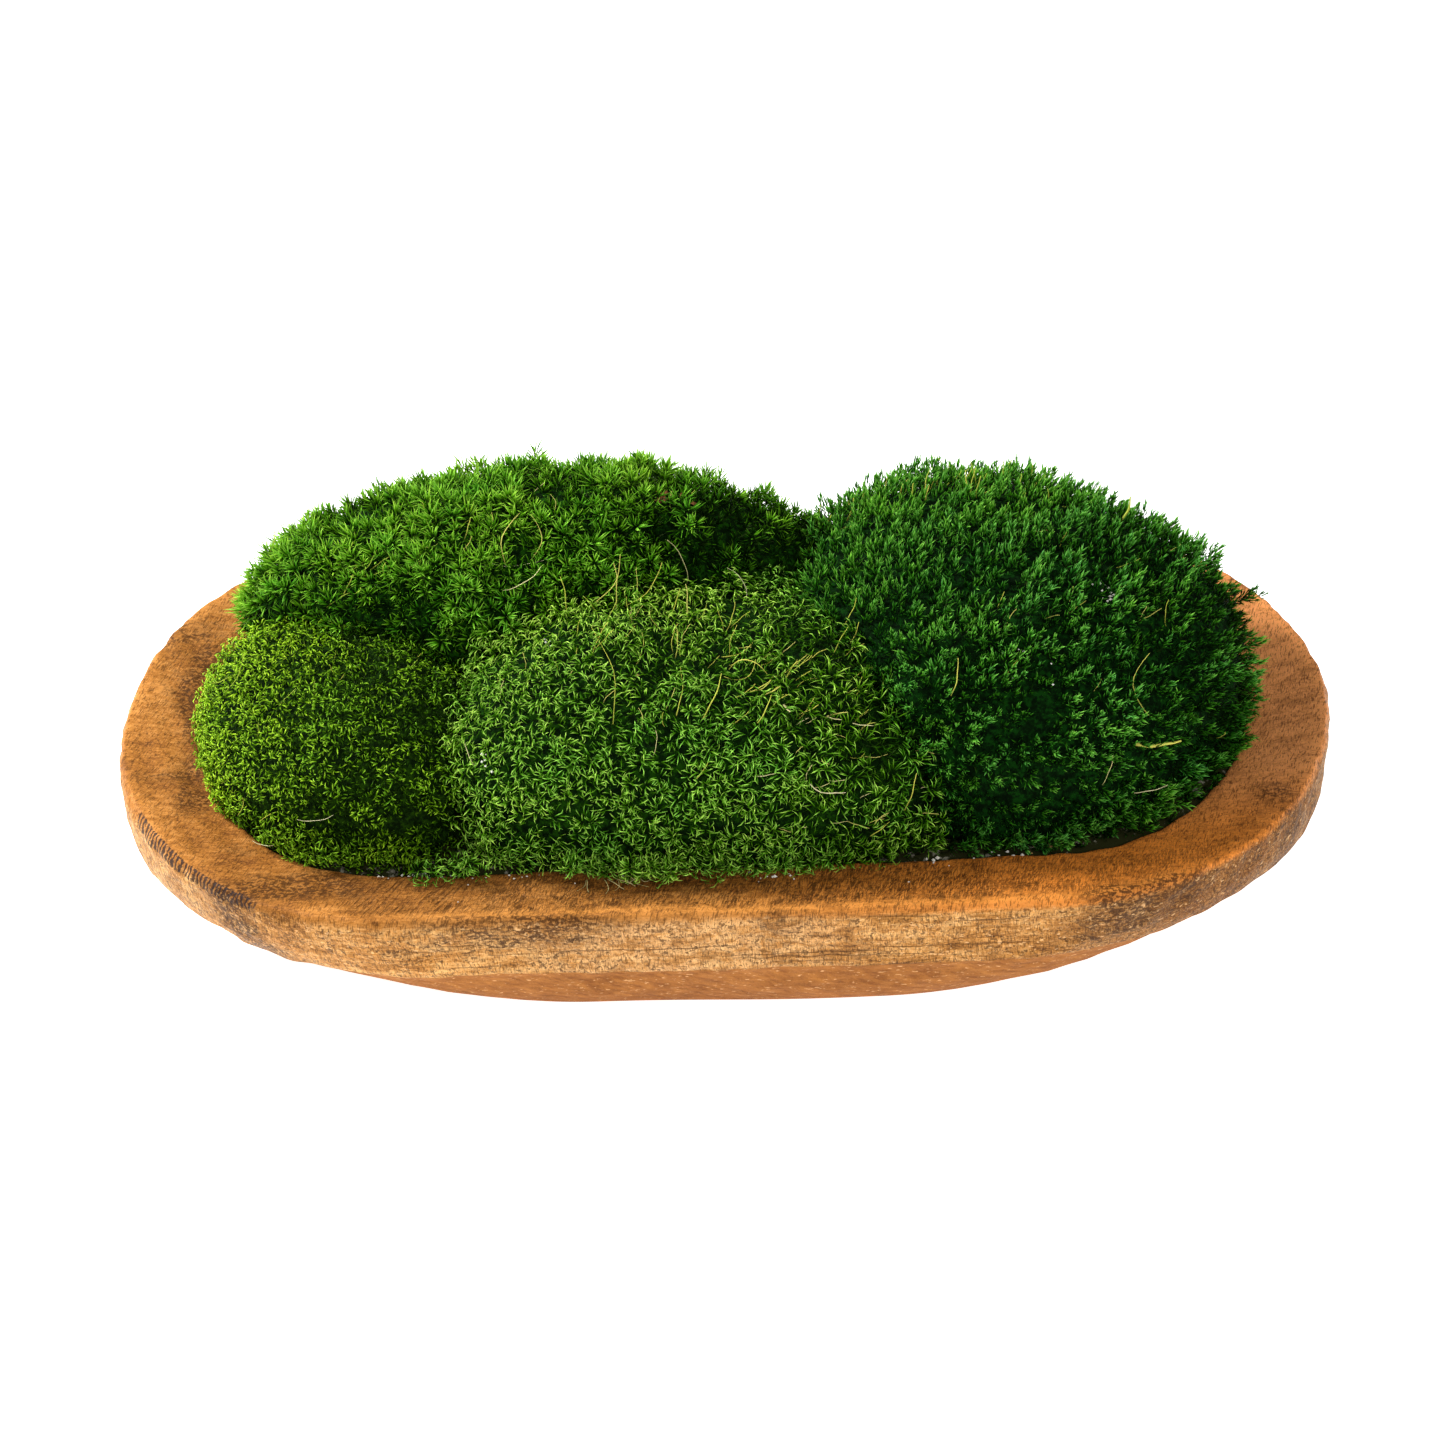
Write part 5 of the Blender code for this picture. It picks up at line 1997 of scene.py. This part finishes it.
    fields: tuple[StalkField, ...] = (
        StalkField(2, (-0.024, -0.026), 0.028, 0.014, 26, 0.011, (0.15, -0.10, 0.9)),
        StalkField(2, (0.022, -0.046), 0.022, 0.015, 30, 0.008, (0.65, 0.05, 0.55), 0.00045, 0.36),
        StalkField(2, (0.040, -0.070), 0.024, 0.012, 26, 0.006, (0.70, -0.20, 0.45), 0.00040, 0.20),
        StalkField(2, (-0.040, -0.050), 0.034, 0.020, 10, 0.010, (0.10, -0.10, 0.7), 0.00035, 0.30),
        StalkField(3, (0.070, 0.042), 0.036, 0.012, 40, 0.008, (0.20, 0.00, 0.9), 0.00060, 0.44),
        StalkField(3, (0.108, 0.030), 0.020, 0.014, 14, 0.007, (0.30, 0.00, 0.8), 0.00055, 0.48),
        StalkField(3, (0.120, -0.020), 0.040, 0.040, 16, 0.007, (0.45, 0.00, 0.6), 0.00040, 0.34),
        StalkField(0, (-0.114, 0.010), 0.016, 0.008, 18, 0.008, (0.55, 0.00, 0.5), 0.00060, 0.62),
        StalkField(0, (-0.060, 0.020), 0.050, 0.016, 12, 0.008, (0.20, -0.10, 0.7), 0.00040, 0.30),
        StalkField(1, (-0.130, -0.030), 0.036, 0.036, 14, 0.006, (0.30, -0.10, 0.6), 0.00030, 0.46),
    )
    roots_at: Vector = (-0.036, -0.0860, 0.0690)
    root_spread: float = 0.010
    root_count: int = 12
    root_way: Vector = (0.45, -0.75, 0.02)
    root_stray: Vector = (0.8, 0.2, 0.05)
    root_length: Pair = (0.003, 0.008)
    root_width: float = 0.00022
    root_tint: Pair = (0.16, 0.22)
    foot_colour: Colour = (0.10, 0.11, 0.015)
    taper: float = 0.45
    wiggle: float = 0.010

    def gathered(self) -> dict[str, Array]:
        """The placed stalks, the ones of each field and the root threads, one row each."""
        rng = np.random.default_rng(self.seed)
        keys = ("foot", "reach", "bow", "width", "tint")
        sets = {key: [np.array([getattr(stalk, key) for stalk in self.placed])] for key in keys}
        sets["width"][0] *= self.slimness
        for field in self.fields:
            clump, n = CLUMPS[field.clump], field.count
            x = field.at[0] + field.long * rng.uniform(-1, 1, n)
            y = field.at[1] + field.wide * rng.uniform(-1, 1, n)
            sets["foot"].append(np.stack([x, y, clump.dome(x, y) - 0.001], axis=-1))
            way = unit(np.array(field.way) + rng.normal(0, 0.28, (n, 3)))
            sets["reach"].append(way * field.length * rng.uniform(0.55, 1.35, (n, 1)))
            sets["bow"].append(rng.normal(0, 0.07, n))
            sets["width"].append(self.slimness * field.width * rng.uniform(0.8, 1.2, n))
            sets["tint"].append(field.tint + rng.normal(0, 0.07, n))
        n = self.root_count
        along = rng.uniform(-1, 1, (n, 1)) * self.root_spread * np.array([1.0, 0.0, 0.0])
        sets["foot"].append(np.array(self.roots_at) + along)
        way = np.array(self.root_way) + rng.normal(0, 1.0, (n, 3)) * self.root_stray
        sets["reach"].append(unit(way) * rng.uniform(*self.root_length, (n, 1)))
        sets["bow"].append(rng.normal(0, 0.15, n))
        sets["width"].append(np.full(n, self.root_width))
        sets["tint"].append(rng.uniform(*self.root_tint, n))
        return {key: np.concatenate(parts) for key, parts in sets.items()}

    def tubes(self) -> Mesh:
        """Square tubes on the curves foot + s * reach + 4 s (1 - s) * bow * length * side.

        Returns:
            The vertices, the triangles, and a UV pair for each corner.
        """
        stalks = self.gathered()
        rng = np.random.default_rng(self.seed + 1)
        reach = stalks["reach"]
        length = np.linalg.norm(reach, axis=1)
        side = unit(np.cross(reach, np.array((0.0, -1.0, 0.3)) + 0 * reach))
        other = unit(np.cross(reach, side))
        s = np.linspace(0.0, 1.0, self.sections + 1)
        wave = self.wiggle * np.sin(TAU * (1.6 * s + rng.uniform(0, 1, (len(reach), 1))))
        swing = (stalks["bow"][:, None] * 4 * s * (1 - s) + wave) * length[:, None]
        path = stalks["foot"][:, None] + s[:, None] * reach[:, None] + swing[..., None] * side[:, None]
        half = stalks["width"][:, None] / 2 * (1 - self.taper * s**2)
        corners = []
        for a, b in ((1, 0), (0, 1), (-1, 0), (0, -1)):
            corners.append(path + half[..., None] * (a * side + b * other)[:, None])
        points = np.stack(corners, axis=2)
        seat = BOWL.seat_height(points[..., 0], points[..., 1]) + 0.0003
        points[..., 2] = np.maximum(points[..., 2], seat)
        faces = []
        for ring in range(self.sections):
            for j in range(4):
                a, b = 4 * ring + j, 4 * ring + (j + 1) % 4
                faces += [(a, b, b + 4), (a, b + 4, a + 4)]
        last = 4 * self.sections
        faces += [(0, 2, 1), (0, 3, 2), (last, last + 1, last + 2), (last, last + 2, last + 3)]
        faces = np.array(faces)
        each = 4 * (self.sections + 1)
        tint = stalks["tint"] + 0.12 * (stalks["tint"] > 0.22)
        u = np.clip(tint, 0.02, 0.97)[:, None, None] + np.array((0, 0.006, 0.012, 0.006))
        v = 0.02 + 0.95 * s[:, None] + np.array((0, 0.01, 0, -0.01))
        uv = np.stack(np.broadcast_arrays(u, v), axis=-1).reshape(len(reach), each, 2)
        return *many(points.reshape(len(reach), each, 3), faces), uv[:, faces].reshape(-1, 3, 2)

    def build(self) -> Piece:
        """Makes the stalks, tinted across their map and a little paler at their tips."""
        straw = Shader("dry_straw", roughness=0.7, specular=0.04)
        tint, along, _ = straw.chart()
        colour = straw.ramp(tint, self.ink)
        foot = straw.span(along, 0.0, 0.5, 0.45, 0.0)
        material = straw.finish(straw.mix(foot, colour, self.foot_colour))
        piece = mesh_piece("dry_stalks", *self.tubes(), material)
        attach(piece, "root")
        return piece


@dataclass(frozen=True)
class Scatter:
    """A line or patch of crumbs, with their number, size and paleness."""

    start: Pair
    end: Pair
    spread: float
    count: int
    size: float = 0.0005
    tint: float = 0.05


@dataclass(frozen=True)
class Crumbs:
    """Pale grains of foam and bits of bark, each a small uneven eight-sided grain."""

    seed: int = 22
    shades: tuple[tuple[float, Colour], ...] = (
        (0.0, (0.80, 0.80, 0.74)),
        (0.5, (0.50, 0.32, 0.12)),
        (1.0, (0.16, 0.055, 0.020)),
    )
    scatters: tuple[Scatter, ...] = (
        Scatter((-0.113, -0.078), (-0.086, -0.079), 0.0008, 14),
        Scatter((-0.086, -0.080), (-0.060, -0.081), 0.0006, 7, 0.0004),
        Scatter((-0.034, -0.082), (-0.030, -0.084), 0.0010, 3),
        Scatter((0.008, -0.084), (0.026, -0.087), 0.0012, 7),
        Scatter((0.062, -0.079), (0.096, -0.077), 0.0012, 12, 0.0006),
        Scatter((0.096, -0.076), (0.112, -0.070), 0.0012, 8, 0.0006, 0.6),
        Scatter((0.122, -0.021), (0.127, -0.028), 0.0012, 12, 0.0005),
        Scatter((0.095, -0.050), (0.110, -0.060), 0.0040, 8, 0.0004),
        Scatter((-0.056, -0.028), (-0.052, -0.030), 0.0008, 4, 0.0005),
        Scatter((-0.077, -0.062), (-0.072, -0.068), 0.0010, 6, 0.0005),
        Scatter((-0.0275, -0.044), (-0.0265, -0.044), 0.0002, 1, 0.0012, 0.7),
        Scatter((-0.020, 0.024), (-0.010, 0.028), 0.0020, 7, 0.0011, 1.0),
        Scatter((0.102, -0.0735), (0.106, -0.0735), 0.0008, 3, 0.0012, 0.6),
        Scatter((-0.100, -0.082), (0.100, -0.090), 0.0060, 16, 0.0003),
    )

    def grains(self) -> Mesh:
        """The vertices, triangles and UV pairs of all the grains."""
        rng = np.random.default_rng(self.seed)
        places, sizes, tints = [], [], []
        for scatter in self.scatters:
            share = rng.uniform(0, 1, (scatter.count, 1))
            start, end = np.array(scatter.start), np.array(scatter.end)
            places.append(start + share * (end - start) + rng.normal(0, scatter.spread, (scatter.count, 2)))
            sizes.append(scatter.size * rng.uniform(0.6, 1.4, scatter.count))
            tints.append(scatter.tint + rng.uniform(-0.05, 0.05, scatter.count))
        plan, size, tint = np.concatenate(places), np.concatenate(sizes), np.concatenate(tints)
        x, y = plan[:, 0], plan[:, 1]
        z = BOWL.seat_height(x, y)
        for clump in CLUMPS:
            z = np.where(clump.share(x, y) < 0.97, np.maximum(z, clump.dome(x, y) + 0.0008), z)
        ways = np.array([(1, 0, 0), (0, 1, 0), (-1, 0, 0), (0, -1, 0), (0, 0, 1), (0, 0, -1)])
        radius = size[:, None, None] * rng.uniform(0.6, 1.3, (len(x), 6, 1))
        points = np.stack([x, y, z + 0.6 * size], axis=-1)[:, None] + ways * radius
        faces = [(j, (j + 1) % 4, 4) for j in range(4)] + [((j + 1) % 4, j, 5) for j in range(4)]
        faces = np.array(faces)
        corner = np.array([(0, 0), (0.02, 0), (0.02, 0.02)])
        u = np.clip(tint, 0.01, 0.95)[:, None, None] + corner[:, 0]
        v = 0.5 + corner[:, 1] + 0 * u
        uv = np.broadcast_to(np.stack([u + 0 * v, v], axis=-1), (len(x), len(faces), 3, 2))
        return *many(points, faces), uv.reshape(-1, 3, 2)

    def build(self) -> Piece:
        """Makes the grains, white to brown across their map."""
        grain = Shader("foam_crumbs", roughness=0.9, specular=0.1)
        tint, _, _ = grain.chart()
        material = grain.finish(grain.ramp(tint, self.shades))
        piece = mesh_piece("foam_crumbs", *self.grains(), material, rounded=False)
        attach(piece, "root")
        return piece


# The floor, the light and the camera


@dataclass(frozen=True)
class Lamp:
    """A square soft light: where it hangs, the length of its sides and its power in watts."""

    name: str
    place: Vector
    size: float
    watts: float


@dataclass(frozen=True)
class Studio:
    """A white floor, soft light from the upper left and the photograph's camera."""

    elevation: float = 38.0
    roll: float = -1.84
    distance: float = 1.15
    aim: Vector = (0.0, 0.0, 0.0634)
    focal_share: float = 3396 / 1445
    film: float = 36.0
    floor_drop: float = 0.0004
    floor_reach: float = 6.0
    floor_glow: float = 0.85
    world_strength: float = 0.44
    lamps: tuple[Lamp, ...] = (
        Lamp("key_light", (-0.85, 0.40, 0.85), 0.34, 25.0),
        Lamp("fill_light", (0.55, -1.30, 1.10), 1.00, 12.0),
    )

    def floor(self) -> None:
        """The white floor, marked as stage."""
        shade = Shader("white_floor", roughness=0.9, specular=0.1)
        shade.main.inputs["Emission Color"].default_value = (1.0, 1.0, 1.0, 1.0)
        shade.main.inputs["Emission Strength"].default_value = self.floor_glow
        material = shade.finish((0.90, 0.90, 0.90))
        r, z = self.floor_reach, -self.floor_drop
        points = np.array([(-r, -r, z), (r, -r, z), (r, r, z), (-r, r, z)])
        faces = np.array([(0, 1, 2), (0, 2, 3)])
        uv = np.array([(0, 0), (1, 0), (1, 1), (0, 0), (1, 1), (0, 1)], float).reshape(2, 3, 2)
        mesh_piece("floor", points, faces, uv, material, rounded=False)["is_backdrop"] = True

    def hold(
        self, name: str, data: bpy.types.Light | bpy.types.Camera, eye: Array, right: Array, back: Array
    ) -> Piece:
        """Puts a light or a camera in the scene.

        Args:
            name: the object's name.
            data: the light or the camera.
            eye: where it hangs.
            right: the way to its right.
            back: the way from what it looks at to it.

        Returns:
            The new object.
        """
        axes = np.column_stack([right, np.cross(back, right), back])
        holder = bpy.data.objects.new(name, data)
        holder.matrix_world = Matrix.Translation(eye.tolist()) @ Matrix(axes.tolist()).to_4x4()
        bpy.context.scene.collection.objects.link(holder)
        return holder

    def hang(self, lamp: Lamp) -> None:
        """Hangs one lamp so that it faces the bowl."""
        light = bpy.data.lights.new(lamp.name, "AREA")
        light.size = lamp.size
        light.energy = lamp.watts
        back = unit(np.array(lamp.place) - np.array(self.aim))
        right = unit(np.cross((0.0, 0.0, 1.0), back))
        self.hold(lamp.name, light, np.array(lamp.place), right, back)

    def camera(self) -> None:
        """The camera, from the photograph's fitted view."""
        tip, roll = math.radians(self.elevation), math.radians(self.roll)
        back = np.array([0.0, -math.cos(tip), math.sin(tip)])
        level = np.array([1.0, 0.0, 0.0])
        right = math.cos(roll) * level + math.sin(roll) * np.cross(back, level)
        data = bpy.data.cameras.new("photo_view")
        data.sensor_width = self.film
        data.lens = self.film * self.focal_share
        eye = np.array(self.aim) + self.distance * back
        bpy.context.scene.camera = self.hold("photo_view", data, eye, right, back)

    def build(self) -> None:
        """Sets the whole stage."""
        self.camera()
        self.floor()
        for lamp in self.lamps:
            self.hang(lamp)
        world = bpy.data.worlds.new("studio")
        world.use_nodes = True
        background = world.node_tree.nodes["Background"]
        background.inputs["Color"].default_value = (1.0, 1.0, 1.0, 1.0)
        background.inputs["Strength"].default_value = self.world_strength
        bpy.context.scene.world = world
        bpy.context.scene.view_settings.view_transform = "Standard"


def corners() -> list[list[float]]:
    """The object's lowest and highest corners, as plain numbers."""
    return [[float(part) for part in corner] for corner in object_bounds()]


def main() -> None:
    """Builds the dressed garden."""
    logging.basicConfig(level=logging.INFO, format="%(message)s")
    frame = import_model()
    Studio().build()
    bowl = CarvedBowl().build()
    log.info("%s: %d triangles", bowl.name, len(bowl.data.polygons))
    foam = frame["nodes"]["foam_bed"]
    foam.data.materials.clear()
    foam.data.materials.append(DryFoam().material())
    total = 0
    for clump in CLUMPS:
        count = MossClump(clump).build()
        total += count
        log.info("%s: %d triangles of shoots", clump.name, count)
    log.info("all shoots: %d triangles", total)
    for loose in (DryStalks().build(), Crumbs().build()):
        log.info("%s: %d triangles", loose.name, len(loose.data.polygons))


if __name__ == "__main__":
    main()
